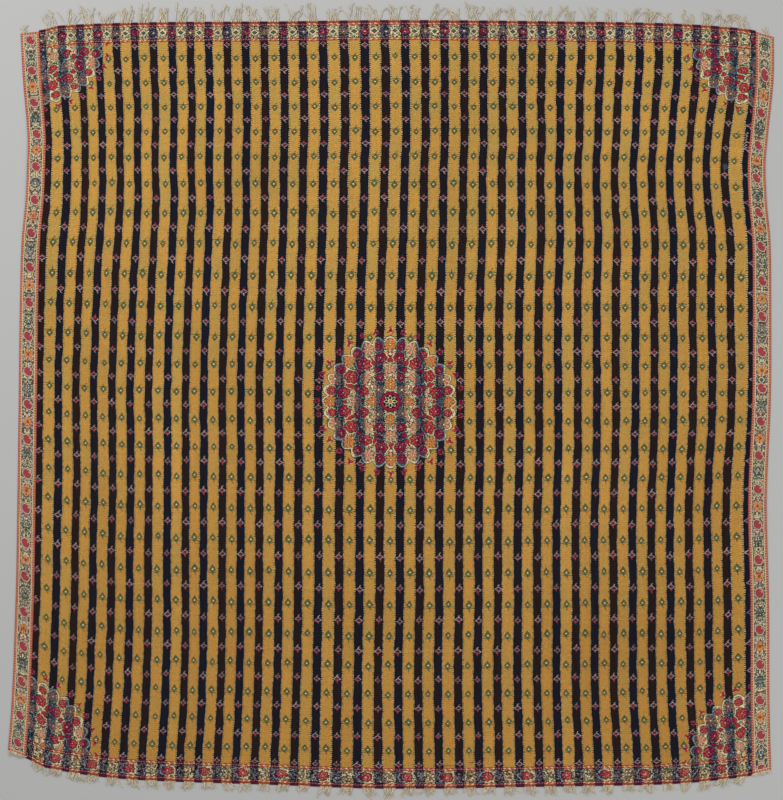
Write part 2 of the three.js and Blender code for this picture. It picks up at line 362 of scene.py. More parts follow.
class Pen:
    """Lays the nodes of a material or of a Geometry Nodes tree."""

    def __init__(self, tree: bpy.types.NodeTree) -> None:
        """Takes the tree to lay nodes in."""
        self.tree = tree

    def node(self, kind: str, inputs: dict[Any, Any] | None = None, **settings: Any) -> Any:
        """Lays one node.

        Args:
            kind: the node's type.
            inputs: what to feed it, by the input's name or number.
            settings: the node's own options.

        Returns:
            The node.
        """
        laid = len(self.tree.nodes)
        made = self.tree.nodes.new(kind)
        made.location = (180 * (laid % 30), -160 * (laid // 30))
        for name, value in settings.items():
            setattr(made, name, value)
        for key, value in (inputs or {}).items():
            self.feed(made.inputs[key], value)
        return made

    def feed(self, socket: bpy.types.NodeSocket, value: Any) -> None:
        """Links a number, a socket or a node's first output, or sets a plain value."""
        if isinstance(value, Num):
            value = value.socket
        elif isinstance(value, bpy.types.Node):
            value = value.outputs[0]
        if isinstance(value, bpy.types.NodeSocket):
            self.tree.links.new(value, socket)
        else:
            socket.default_value = value.linear if isinstance(value, Dye) else value

    def math(self, operation: str, *terms: Any) -> "Num":
        """Lays one sum and gives its result."""
        made = self.node("ShaderNodeMath", dict(enumerate(terms)), operation=operation)
        return Num(self, made.outputs[0])

    def vector(self, x: Any, y: Any, z: Any = 0.0) -> bpy.types.NodeSocket:
        """A vector from three numbers."""
        return self.node("ShaderNodeCombineXYZ", {0: x, 1: y, 2: z}).outputs[0]

    def split(self, vector: Any) -> tuple["Num", "Num", "Num"]:
        """The three numbers of a vector or colour."""
        made = self.node("ShaderNodeSeparateXYZ", {0: vector})
        return tuple(Num(self, output) for output in made.outputs)

    def map(self, name: str) -> bpy.types.NodeSocket:
        """The place on one of the piece's own maps."""
        return self.node("ShaderNodeUVMap", uv_map=name).outputs[0]

    def cloud(self, at: Any, scale: float, detail: float) -> bpy.types.Node:
        """The node of a soft noise over the cloth."""
        inputs = {"Vector": at, "Scale": scale, "Detail": detail}
        return self.node("ShaderNodeTexNoise", inputs, noise_dimensions="2D")

    def noise(self, at: Any, scale: float, detail: float) -> "Num":
        """The number of a soft noise, round 0.5."""
        return Num(self, self.cloud(at, scale, detail).outputs[0])

    def leaves(self, at: Any, size: float) -> tuple["Num", "Num", "Num"]:
        """Small uneven cells.

        Args:
            at: the place.
            size: how wide a cell is.

        Returns:
            Two random numbers of the cell, and the distance from its middle.
        """
        inputs = {"Vector": at, "Scale": 1 / size, "Randomness": 0.85}
        made = self.node("ShaderNodeTexVoronoi", inputs, voronoi_dimensions="2D")
        hue, tone, _ = self.split(made.outputs["Color"])
        return hue, tone, Num(self, made.outputs["Distance"])

    def chance(self, x: Any, y: Any) -> tuple["Num", "Num", "Num"]:
        """Three random numbers that belong to one motif."""
        inputs = {"Vector": self.vector(x, y)}
        made = self.node("ShaderNodeTexWhiteNoise", inputs, noise_dimensions="2D")
        return self.split(made.outputs["Color"])

    def choose(self, mask: Any, without: Any, within: Any) -> "Num":
        """One number where the mask is 0 and another where it is 1."""
        made = self.node("ShaderNodeMix", {0: mask, 2: without, 3: within}, data_type="FLOAT")
        return Num(self, made.outputs[0])

    def dye(self, mask: Any, under: Any, over: Any) -> bpy.types.NodeSocket:
        """Puts a colour over another where the mask is 1."""
        made = self.node("ShaderNodeMix", {0: mask, 6: under, 7: over}, data_type="RGBA")
        return made.outputs[2]

    def over(self, colour: Any, *coats: tuple[Any, Any]) -> bpy.types.NodeSocket:
        """Puts colours over another in turn, each given with its mask."""
        for mask, coat in coats:
            colour = self.dye(mask, colour, coat)
        return colour

    def shade(self, colour: Any, amount: Any) -> bpy.types.NodeSocket:
        """Makes a colour lighter or darker by a factor."""
        inputs = {0: colour, "Scale": amount}
        return self.node("ShaderNodeVectorMath", inputs, operation="SCALE").outputs[0]

    def pick(self, at: Any, stops: Sequence[tuple[float, Any]]) -> bpy.types.NodeSocket:
        """A colour from a list of steps, each a place from 0 to 1 and a dye or numbers."""
        made = self.node("ShaderNodeValToRGB", {0: at})
        ramp = made.color_ramp
        ramp.interpolation = "CONSTANT"
        while len(ramp.elements) < len(stops):
            ramp.elements.new(0.5)
        for element, (place, colour) in zip(ramp.elements, stops):
            element.position = place
            element.color = colour.linear if isinstance(colour, Dye) else (*colour, 1.0)
        return made.outputs[0]

    def surface(self, inputs: dict[str, Any]) -> None:
        """Ends a material with one shader that is fed by the names of its inputs."""
        shader = self.node("ShaderNodeBsdfPrincipled", inputs)
        self.node("ShaderNodeOutputMaterial", {"Surface": shader})


def lays(operation: str, swapped: bool = False) -> Callable[..., "Num"]:
    """A method of a number that lays one kind of sum.

    Args:
        operation: the kind.
        swapped: whether the number itself comes last.

    Returns:
        The method.
    """

    def method(self: "Num", *others: Any) -> "Num":
        """Lays the sum of this number and the others."""
        return self.pen.math(operation, *((*others, self) if swapped else (self, *others)))

    return method


@dataclass(frozen=True)
class Num:
    """A number that a node tree works out, with the usual signs. A mask is 0 or 1."""

    pen: Pen
    socket: bpy.types.NodeSocket

    __add__ = lays("ADD")
    __sub__ = lays("SUBTRACT")
    __rsub__ = lays("SUBTRACT", swapped=True)
    __mul__ = lays("MULTIPLY")
    __truediv__ = lays("DIVIDE")
    __pow__ = lays("POWER")
    __abs__ = lays("ABSOLUTE")
    __lt__ = lays("LESS_THAN")
    __gt__ = lays("GREATER_THAN")
    # Both of two masks, and either of them
    __and__ = lays("MULTIPLY")
    __or__ = lays("MAXIMUM")
    lowest = lays("MINIMUM")
    highest = lays("MAXIMUM")
    # The nearest whole number, the one below, and what is over from whole spans
    nearest = lays("ROUND")
    floor = lays("FLOOR")
    wrap = lays("FLOORED_MODULO")
    # Rises from 0 to a height and falls back, over and over
    zigzag = lays("PINGPONG")
    cosine = lays("COSINE")
    sine = lays("SINE")


def length(x: Num, y: Num) -> Num:
    """The distance of a point from its motif's middle."""
    return x.pen.math("SQRT", x * x + y * y)


def angle(x: Num, y: Num) -> Num:
    """The direction of a point from its motif's middle, from the second axis."""
    return x.pen.math("ARCTAN2", x, y)


@dataclass(frozen=True)
class Wool:
    """Surface of the soft twill, shared by all the woven pieces. Sizes in millimetres."""

    roughness: float = 0.88
    specular: float = 0.05
    sheen: float = 0.045
    sheen_roughness: float = 0.55
    wale: float = 2.1
    relief: float = 0.16
    relief_strength: float = 0.55
    grain_scale: float = 420.0

    def finish(self, pen: Pen, colour: bpy.types.NodeSocket) -> None:
        """Adds the twill's relief and the wool's shine, and ends the material.

        Args:
            pen: lays the nodes.
            colour: the woven pattern.
        """
        flat = pen.map(WEAVE_MAP)
        u, v, _ = pen.split(flat)
        grain = pen.noise(flat, self.grain_scale, 3)
        twill = ((u - v) * (2 * math.pi / (self.wale * MM)) + grain * 3).sine()
        bump = pen.node("ShaderNodeBump", {
            "Height": twill * 0.5 + grain * 1.6, "Strength": self.relief_strength,
            "Distance": self.relief * MM,
        })
        # The twill and grain that raise the relief also lighten the colour where the cloth stands
        # higher: partly the wool's uneven tone, partly painted shade of the relief
        pen.surface({
            "Base Color": pen.shade(colour, twill * 0.035 + grain * 0.34 + 0.83),
            "Roughness": self.roughness, "Specular IOR Level": self.specular,
            "Sheen Weight": self.sheen, "Sheen Roughness": self.sheen_roughness, "Normal": bump,
        })


def new_material(name: str) -> tuple[bpy.types.Material, Pen]:
    """An empty material and a pen for its nodes."""
    material = bpy.data.materials.new(name)
    material.use_nodes = True
    material.node_tree.nodes.clear()
    return material, Pen(material.node_tree)


def worn_place(pen: Pen, yarn: float, drift: float) -> tuple[Num, Num]:
    """The place on the flat cloth in millimetres, stepped by yarns and a little uneven.

    Args:
        pen: lays the nodes.
        yarn: the size of the steps in millimetres.
        drift: how far hand weaving strays, in millimetres.

    Returns:
        Across and along.
    """
    flat = pen.map(WEAVE_MAP)
    stray = pen.split(pen.cloud(flat, STRAY_SCALE, 3).outputs["Color"])
    places = (
        part * (1 / MM) + (own - 0.5) * drift for part, own in zip(pen.split(flat)[:2], stray)
    )
    return tuple((place / yarn).nearest() * yarn for place in places)


def over_warps(pen: Pen, yellow: Num, at: Any, light: Sequence, dark: Sequence) -> Any:
    """One of several colours, with its own list over the yellow and over the dark warps."""
    return pen.dye(yellow, pen.pick(at, dark), pen.pick(at, light))


@dataclass(frozen=True)
class Ring:
    """One ring of flowers round a moon, in millimetres.

    even and odd are the dyes of the flowers, as places in the list of flower dyes.
    """

    start: float
    radius: float
    flowers: int
    even_size: float
    odd_size: float
    offset: float
    bud: float
    petals: int
    even: float
    odd: float


# The numbers of a ring that the material reads, and the most that each can be
RING_COLUMNS = (
    ("radius", 200.0), ("flowers", 40.0), ("even_size", 20.0),
    ("odd_size", 20.0), ("offset", 1.0), ("bud", 20.0),
    ("petals", 10.0), ("even", 1.0), ("odd", 1.0),
)


@dataclass(frozen=True)
class Spot:
    """A point's place on the striped cloth, in millimetres.

    yellow is 1 on the yellow stripes. stripe and gap number the nearest yellow stripe and the
    dark one, and from_stripe and from_gap are the distances across from their middles.
    """

    u: Num
    v: Num
    yellow: Num
    stripe: Num
    gap: Num
    from_stripe: Num
    from_gap: Num


@dataclass(frozen=True)
class WearAndFoldShade:
    """One old mark in the field, in millimetres: a slit, a faded patch, a dash, or a fold's dark
    line that is painted shade.
    """

    x: float
    y: float
    half_width: float
    half_length: float
    strength: float
    dye: Dye
    ragged: float = 1.6

    def over(self, pen: Pen, colour: Any, spot: Spot, streaks: Num) -> bpy.types.NodeSocket:
        """Draws the mark; a fold's dark line is painted shade.

        Args:
            pen: lays the nodes.
            colour: the woven pattern.
            spot: the place on the cloth.
            streaks: noise that makes its edge ragged.

        Returns:
            The pattern with it.
        """
        far = length((spot.u - self.x) / self.half_width, (spot.v - self.y) / self.half_length)
        within = (far + streaks * self.ragged) < self.ragged
        return pen.dye(within * self.strength, colour, self.dye)


@dataclass(frozen=True)
class FieldWeave:
    """The striped field: sprigs, moon and quarter moons, and the two end bands.

    Sizes in millimetres. tooth and bite are the length and depth of the teeth along the
    stripes' edges, and notch is the share of the length that steps back. stray is how far
    a flower of the moons lies from its place.
    """

    yarn: float = 0.9
    drift: float = 5.0
    tooth: float = 4.8
    bite: float = 2.85
    notch: float = 0.45
    grain: float = 0.36
    stray: float = 2.4
    moon_stretch: tuple[float, float] = (1.06, 0.985)
    moon_edge: float = 141.0
    moon_scallop: float = 12.0
    # The flowers near sway_at stand further out and further in by turns
    sway: float = 11.0
    sway_at: float = 71.0
    sway_width: float = 32.0
    # Eight more buds in a ring
    bud_ring: float = 82.0
    bud_size: float = 5.8
    leaf_cell: float = 5.2
    guard: float = 8.0
    dash: float = 11.6
    rings: tuple[Ring, ...] = (
        Ring(24, 39.5, 8, 11.0, 10.0, 0.0, 0.0, 8, 0.0, 0.4),
        Ring(54, 71, 16, 12.0, 13.0, 0.0, 0.0, 8, 0.4, 0.2),
        Ring(91, 107, 16, 14.2, 14.2, 0.5, 5.6, 8, 0.2, 0.2),
        Ring(121, 134.5, 32, 14.2, 10.6, 0.0, 0.0, 8, 0.0, 0.2),
        Ring(153, 165, 32, 6.8, 6.8, 0.0, 0.0, 3, 0.2, 0.2),
    )
    # Where the sprigs outside the moon's edge start and end, and how far the rings' list goes
    sprigs: tuple[float, float] = (150.0, 174.0)
    span: float = 200.0
    # Flowers of the bottom and of the top band, and how far aside of a stripe the bottom's stand
    band_flowers: tuple[float, float] = (11.2, 10.8)
    band_shift: float = 5.8
    # Wear: a faded bluish patch, two slits near the bottom band and a coral dash by the mend; the
    # ink line at the lower left is painted shade in a fold
    wear_and_fold_shade: tuple[WearAndFoldShade, ...] = (
        WearAndFoldShade(763, 532, 6.5, 9.5, 0.6, Dye.SLATE), WearAndFoldShade(124, -807, 22, 1.2, 0.6, Dye.BROWN),
        WearAndFoldShade(182, -800, 13, 1.4, 0.8, Dye.BROWN), WearAndFoldShade(-649, -690, 9.0, 1.0, 0.5, Dye.INK),
        WearAndFoldShade(804, 601, 5.0, 1.5, 0.9, Dye.CORAL),
    )
    wool: Wool = field(default_factory=Wool)

    def build(self) -> bpy.types.Material:
        """Makes the material."""
        material, pen = new_material("field_cloth")
        u, v = worn_place(pen, self.yarn, self.drift)
        s = u / PITCH
        stripe = s.nearest()
        from_stripe = (s - stripe) * PITCH
        gap = s.floor()
        from_gap = (s - gap - 0.5) * PITCH
        notch = v.wrap(self.tooth) < self.tooth * self.notch
        side = abs(from_stripe) + notch * self.bite - (YELLOW_HALF + self.bite * self.notch)
        yellow = side < 0
        spot = Spot(u, v, yellow, stripe, gap, from_stripe, from_gap)
        colour = self.ground(pen, spot, side, notch)
        colour = self.motifs(pen, colour, spot)
        colour = self.figures(pen, colour, spot)
        streaks = pen.noise(pen.vector(u * 0.9, v * 0.2), 1.0, 3)
        # Wear marks, and the dark line of a fold, which is painted shade
        for mark in self.wear_and_fold_shade:
            colour = mark.over(pen, colour, spot, streaks)
        fade = pen.noise(pen.map(WEAVE_MAP), 2.6, 3)
        grain = pen.noise(pen.vector(u * self.grain, v * self.grain), 1.0, 1)
        # The dark yarns are more uneven than the yellow ones
        shade = fade * 0.3 + (grain - 0.5) * (yellow * -1.1 + 2.1) + 0.85
        self.wool.finish(pen, pen.shade(colour, shade))
        return material

    def ground(self, pen: Pen, spot: Spot, side: Num, notch: Num) -> bpy.types.NodeSocket:
        """The plain stripes, each a little different, with streaks along the warps.

        Args:
            pen: lays the nodes.
            spot: the place on the cloth.
            side: distance over the nearest stripe's edge.
            notch: 1 where the stripe's edge steps back between two teeth.

        Returns:
            The colour.
        """
        gold_chance, patchy, _ = pen.chance(spot.stripe, 7.0)
        dark_chance, _, _ = pen.chance(spot.gap, 3.0)
        streak = pen.noise(pen.vector(spot.u * 0.5, spot.v * 0.012), 1.0, 2)
        bars = pen.noise(pen.vector(spot.u * 0.03, spot.v * 0.14 + patchy * 90), 1.0, 3)
        patch = pen.noise(pen.vector(spot.u * 0.02, spot.v * 0.011), 1.0, 2)
        gold = pen.dye((patch - 0.42) * 5.0, Dye.GOLD, Dye.GOLD_GREEN)
        # Some stripes are dyed a dimmer gold at random, and the dimmer gold spreads towards the
        # bottom end: painted shade, the light falling off down the cloth
        gold = pen.dye(gold_chance * 0.4 - spot.v * 0.0005 + 0.1, gold, Dye.GOLD_DIM)
        gold = pen.shade(gold, streak * 0.26 + bars * 0.26 + 0.75)
        dark = pen.dye(spot.gap.wrap(2) * 0.7 + dark_chance * 0.45, Dye.NAVY, Dye.BROWN)
        dark = pen.shade(dark, streak * 0.9 + 0.5)
        tip = spot.yellow & (side > -2.1) & (1 - notch)
        return pen.over(
            pen.dye(spot.yellow, dark, gold),
            (tip * (bars * 0.6 + 0.15), Dye.CREAM),
            ((side > 0) & (side < 1.6) & notch, Dye.INK),
        )

    def motifs(self, pen: Pen, colour: Any, spot: Spot) -> bpy.types.NodeSocket:
        """The small sprigs on the yellow stripes and the blossoms on the dark ones.

        Args:
            pen: lays the nodes.
            colour: the stripes.
            spot: the place on the cloth.

        Returns:
            The colour with them.
        """
        yellow, dark = spot.yellow, 1 - spot.yellow
        half = dark * 0.5
        q = spot.v * (-1 / ROW) + MOON_ROW - half
        row = q.nearest()
        x = pen.choose(yellow, spot.from_gap, spot.from_stripe)
        own = pen.chance(pen.choose(yellow, spot.gap + 0.5, spot.stripe), row + 40.0)
        size = own[2] * 0.2 + 0.96
        x = (x + (own[0] - 0.5) * 2.2) / size
        # The motifs are turned over below the moon
        lower = (row + half) > MOON_ROW
        t = ((q - row) * ROW * (lower * 2 - 1) + (own[1] - 0.5) * 4.5) / size
        ax = abs(x)
        bend = (t - 5).highest(0)
        hook = abs(x - bend * bend * 0.1 * (own[0] * 1.2 + 0.2)) < 0.9
        # The sprig: a spade with a toothed edge and a pale eye over two low leaves
        leaf = ax + (t * -0.74).highest(t * 1.2) + t.zigzag(1.3) * 0.8
        low_leaves = (abs(t - 6.0 + ax * 0.22) < 0.95) & (ax < 8.6)
        stem = hook & (t > 4.6) & (t < 11.8)
        eye = length(x * 0.8, t + 0.3) < 1.4
        green = pen.dye(own[1], Dye.SAGE, Dye.OLIVE)
        # The blossom: a pale lozenge round a crimson heart, a hook above and a curl below
        line = abs(ax * 0.76 + abs(t) * 1.1 - 4.9) < 0.85
        low = t + 6.4
        curl = (abs(x + low * 0.5 - low * low * 0.28) < 0.9) & (t < -4.4) & (t > -8.8)
        heart = (ax * 0.8 + abs(t - 0.9)) < own[1] * 1.3 + 1.6
        hair = hook & (t > 3.8) & (t < 8.2)
        thread = pen.dye(own[2], Dye.MAUVE, Dye.ASH)
        return pen.over(
            colour,
            (yellow & low_leaves, Dye.OLIVE),
            (yellow & stem, Dye.PINE),
            (yellow & (leaf < 8.0), pen.dye(leaf > 5.8, green, Dye.PINE)),
            (yellow & eye, Dye.EYE),
            (dark & hair, Dye.WINE_PALE),
            (dark & line, pen.dye((t > 1.6) * own[0], thread, Dye.ROSE)),
            (dark & curl, thread),
            (dark & heart, pen.dye(own[0] * 0.6, Dye.CRIMSON, Dye.RED)),
        )

    def ring_values(self, pen: Pen, reach: Num) -> tuple[Num, ...]:
        """The sizes of the ring that a point is in.

        Args:
            pen: lays the nodes.
            reach: distance from the moon's middle, in millimetres.

        Returns:
            The ring's numbers, in the order of RING_COLUMNS.
        """
        values = []
        for first in range(0, len(RING_COLUMNS), 3):
            three = RING_COLUMNS[first:first + 3]
            stops = [
                (ring.start / self.span if n else 0.0,
                 tuple(getattr(ring, name) / most for name, most in three))
                for n, ring in enumerate(self.rings)
            ]
            parts = pen.split(pen.pick(reach / self.span, stops))
            values += [part * most for part, (_, most) in zip(parts, three)]
        return tuple(values)

    def figures(self, pen: Pen, colour: Any, spot: Spot) -> bpy.types.NodeSocket:
        """The moon, the four quarter moons and the two end bands.

        Args:
            pen: lays the nodes.
            colour: the stripes with their sprigs.
            spot: the place on the cloth.

        Returns:
            The colour with them.
        """
        u, v, yellow = spot.u, spot.v, spot.yellow
        # Place in the nearest moon, folded to one quarter
        au = abs(u)
        corner = au > FIELD_EDGE / 2
        e = abs(v - FIELD_MIDDLE) - BAND_START
        band = e > 0
        open_field = 1 - band
        top = v > 0
        mx = pen.choose(corner, au, abs(au - FIELD_EDGE)) * self.moon_stretch[0]
        my = pen.choose(corner, abs(v), abs(e)) * self.moon_stretch[1]
        out = length(mx, my)
        turn = angle(mx, my)
        near = (1 - abs(out - self.sway_at) / self.sway_width).highest(0)
        reach = out - (turn * 8).cosine() * near * self.sway
        radius, count, even_size, odd_size, offset, bud, petals, even, odd = (
            self.ring_values(pen, reach)
        )
        # Place in the nearest flower of its ring, and in the nearest bud
        sector = turn * count * (0.5 / math.pi) + offset
        flower = sector.nearest()
        is_odd = flower.wrap(2) > 0.5
        own = pen.chance(flower + (u > 0) * 40, count + top * 7 + corner * 3)
        slant = ((sector - flower) * (2 * math.pi) / count).sine()
        ty = slant * reach + (own[0] - 0.5) * self.stray
        tx = reach - radius + (own[1] - 0.5) * self.stray
        between = (0.5 - abs(sector - flower)) * (2 * math.pi) / count
        nook = length(between * reach, tx + 5) / bud.highest(0.1)
        quarter = (turn.wrap(math.pi / 4) - math.pi / 8).sine() * out
        nook = nook.lowest(length(quarter, out - self.bud_ring) / self.bud_size)
        # Every other flower of the outer ring that would be orange is peach
        by_turns = (even < 0.1) * (count > 20) * (flower.wrap(4) > 1)
        kind = pen.choose(is_odd, even + by_turns * 0.4, odd)
        size = pen.choose(is_odd, even_size, odd_size)
        # Place in the end bands
        pair = (u / PITCH - 1) * 0.5
        bx = (pair - pair.nearest()) * (2 * PITCH) + self.band_shift
        tx = pen.choose(band, tx, pen.choose(top, bx * 0.8, spot.from_gap * 0.92 - 1.5))
        ty = pen.choose(band, ty, (e - BAND_WIDTH / 2) * (top * 0.14 + 1.0))
        size = size * (own[2] * 0.14 + 0.93 - corner * 0.08)
        size = pen.choose(band, size, pen.choose(top, *self.band_flowers))
        petals = pen.choose(band, petals, 8.0)
        by_four = (spot.gap + 1).wrap(4)
        top_kind = pen.choose(by_four.wrap(2) > 0.5, pen.choose(by_four > 1, 0.6, 0.8), 0.2)
        kind = pen.choose(band, kind, pen.choose(top, 0.2, top_kind))
        # Small leaves, which also rough up the flowers' edges
        cell = pen.vector(pen.choose(band, mx, u * 1.3), pen.choose(band, my, v * 1.3))
        hue, tone, centre = pen.leaves(cell, self.leaf_cell)
        # One flower: petals round an eye, with dark lines between them
        far = length(tx, ty) / size
        lobes = (angle(ty, tx) * petals).cosine()
        d = far / (lobes * ((petals < 5) * 0.24 + 0.07) + 0.94)
        d = d + (tone - 0.5) * (band * 0.26 + 0.1)
        red = abs(kind - 0.2) < 0.05
        # Ground of leaves between the flowers
        edge = out - abs((turn * 16).cosine()) * self.moon_scallop - self.moon_edge
        inside = (edge < 0) & open_field
        main = band & (e > self.guard) & (e < BAND_WIDTH - self.guard)
        shadow = pen.dye(yellow, Dye.INK, Dye.MOSS)
        upon = pen.dye(
            inside | main, colour, self.leafy(pen, spot, (hue, tone, centre), band, top, shadow)
        )
        # Flowers over it
        in_moon = inside & (reach > self.rings[0].start)
        sprig_ring = (edge > 0) & open_field & (reach < self.sprigs[1]) & (reach > self.sprigs[0])
        bloom = in_moon | main
        halo = pen.dye(open_field * (tone > 0.4) * 0.75, Dye.PALE_BLUE, Dye.SLATE)
        halo = pen.dye(yellow, pen.dye(band & top, halo, Dye.PLUM), Dye.CREAM)
        ringed = band & (1 - top)
        petal = self.petal(pen, spot, kind, red, (hue, centre), lobes, d, band)
        outline = abs(edge + 1.6) < 1.6
        upon = pen.over(
            upon,
            (in_moon & (nook < 1.25), shadow),
            (in_moon & (nook < 1.0), pen.dye(yellow, Dye.CRIMSON, Dye.RED)),
            (bloom & (d < ringed * 0.13 + 1.24), halo),
            (bloom & (d < ringed * 0.07 + 1.13), shadow),
            (sprig_ring & (far < 0.85), pen.dye(yellow, Dye.MAUVE, Dye.CREAM)),
            ((bloom | sprig_ring) & (d < 1.0), petal),
            (bloom & (d < 0.13), pen.dye(red, Dye.CREAM, Dye.PEACH)),
        )
        upon = self.rosette(pen, upon, out, turn, inside & (1 - corner))
        upon = pen.over(
            upon,
            ((abs(edge - 1.0) < 1.0) & open_field, Dye.MOSS),
            (outline & open_field, pen.dye(yellow, Dye.PALE_BLUE, Dye.CREAM)),
        )
        return self.guards(pen, upon, spot, e, band & top, band)

    def leafy(self, pen: Pen, spot: Spot, cell: tuple[Num, Num, Num], band: Num, top: Num,
              shadow: Any) -> bpy.types.NodeSocket:
        """The ground of small leaves with pale edges.

        Args:
            pen: lays the nodes.
            spot: the place on the cloth.
            cell: the leaf's two random numbers and the distance from its middle.
            band: 1 in the end bands.
            top: 1 in the upper half.
            shadow: the dye between the leaves.

        Returns:
            The colour.
        """
        hue, tone, centre = cell
        yellow = spot.yellow
        pale = pen.dye(band, Dye.SLATE, pen.dye(tone > 0.45, Dye.WINE, Dye.ASH))
        pale = pen.dye(yellow, pale, Dye.CREAM)
        pale_from = (band & top & yellow) * -0.06 - (band & (1 - yellow)) * 0.03 + 0.44
        colour = over_warps(
            pen, yellow, hue,
            ((0, Dye.CREAM), (0.24, Dye.LEAF), (0.44, Dye.MOSS), (0.56, Dye.PEACH),
             (0.66, Dye.TEAL), (0.78, Dye.RED), (0.9, Dye.ORANGE)),
            ((0, Dye.NAVY), (0.26, Dye.SLATE), (0.4, Dye.INK), (0.56, Dye.TEAL),
             (0.7, Dye.WINE), (0.82, Dye.PALE_BLUE), (0.92, Dye.LEAF)),
        )
        return pen.over(
            pen.shade(colour, tone * 0.35 + 0.75),
            (centre > pale_from, pale),
            ((centre + band * 0.05) > 0.56, shadow),
        )

    def petal(self, pen: Pen, spot: Spot, kind: Num, red: Num, cell: tuple[Num, Num],
              lobes: Num, d: Num, band: Num) -> bpy.types.NodeSocket:
        """The petals of one flower, with veins, specks and a heart.

        Args:
            pen: lays the nodes.
            spot: the place on the cloth.
            kind: the flower's place in the list of flower dyes.
            red: 1 in a red flower.
            cell: a leaf's random number and the distance from its middle, for the specks.
            lobes: 1 along the petals' middles, -1 between them.
            d: distance from the flower's middle, 1 at its edge.
            band: 1 in the end bands.

        Returns:
            The colour.
        """
        hue, centre = cell
        yellow = spot.yellow
        dyed = over_warps(
            pen, yellow, kind + 0.05,
            ((0, Dye.ORANGE), (0.2, Dye.RED), (0.4, Dye.PEACH), (0.6, Dye.INDIGO),
             (0.8, Dye.ORANGE)),
            ((0, Dye.TAN), (0.2, Dye.CRIMSON), (0.4, Dye.TAN), (0.6, Dye.INDIGO),
             (0.8, Dye.TAN)),
        )
        vein = (lobes < (0.24 - red * 0.8)) & (d > 0.3) & (d < 1.0)
        shade = pen.dye(yellow, pen.dye(band, Dye.WINE, Dye.INK), Dye.RUST)
        speck = (centre < band * 0.09 + 0.23) & (d > 0.3) & (d < 0.9)
        fleck = pen.dye(yellow, pen.dye(hue > 0.5, Dye.MAUVE, Dye.PLUM), Dye.PEACH)
        red_heart = pen.dye(yellow, Dye.WINE, Dye.CRIMSON)
        return pen.over(
            pen.shade(dyed, 1.06 - (d > 0.84) * 0.14),
            (vein * 0.7, pen.dye(red, shade, Dye.WINE)),
            (speck * (0.75 - yellow * 0.2), fleck),
            (d < 0.26, pen.dye(red, pen.dye(yellow, Dye.LEAF, Dye.RUST), red_heart)),
        )

    def rosette(self, pen: Pen, colour: Any, out: Num, turn: Num, inside: Num) -> Any:
        """The disc in the moon's middle: eight dark petals in a crimson ring.

        Args:
            pen: lays the nodes.
            colour: what is there already.
            out: distance from the moon's middle.
            turn: direction from it.
            inside: 1 inside a moon.

        Returns:
            The colour with it.
        """
        disc = inside & (out < self.rings[0].start)
        ly = turn.zigzag(math.pi / 8).sine() * out
        petal = length((out - 9.4) / 5.9, ly / 3.3)
        return pen.over(
            colour,
            (disc, Dye.CRIMSON),
            (disc & (abs(out - 18.4) < 0.8), Dye.RED),
            (disc & (out < 15.8), Dye.INK),
            (disc & (petal < 1.0) & (petal > 0.7), Dye.CREAM),
            (disc & (out < 2.8), Dye.ORANGE),
        )

    def guards(self, pen: Pen, colour: Any, spot: Spot, e: Num, at_top: Num, band: Num) -> Any:
        """The narrow rows of dashes along both edges of an end band, and its leaves.

        Args:
            pen: lays the nodes.
            colour: what is there already.
            spot: the place on the cloth.
            e: distance into the band.
            at_top: 1 in the top band.
            band: 1 in both.

        Returns:
            The colour with them.
        """
        yellow = spot.yellow
        lozenge = abs(spot.from_stripe) / 6.8 + abs(e - BAND_WIDTH / 2) / 6.2
        leaf = at_top & yellow
        g = e.lowest(BAND_WIDTH - e)
        guard = band & (g < self.guard)
        along = spot.u.wrap(self.dash) - self.dash / 2
        from_dash = abs(g - 4.3 - along * 0.3)
        dash = (abs(along) * 0.5 + from_dash) < 2.5
        other = ((self.dash / 2 - abs(along)) * 0.9 + abs(g - 4.6)) < 1.7
        fleck = (abs(along) * 0.8 + from_dash) < 1.3
        return pen.over(
            colour,
            (leaf & (lozenge < 1.4), Dye.CREAM),
            (leaf & (lozenge < 1), Dye.MOSS),
            (leaf & (lozenge < 0.74), Dye.LEAF),
            (guard, pen.dye(yellow, Dye.PLUM, Dye.BRICK)),
            ((guard & dash) * (yellow * 0.3 + 0.7), pen.dye(yellow, Dye.ROSE_DEEP, Dye.PEACH)),
            (guard & other, pen.dye(yellow, Dye.MAUVE, Dye.ORANGE)),
            (guard & fleck, pen.dye(yellow, Dye.MAUVE, Dye.CREAM)),
            (guard & (g < 1.3), pen.dye(yellow, Dye.WINE, Dye.RUST)),
        )


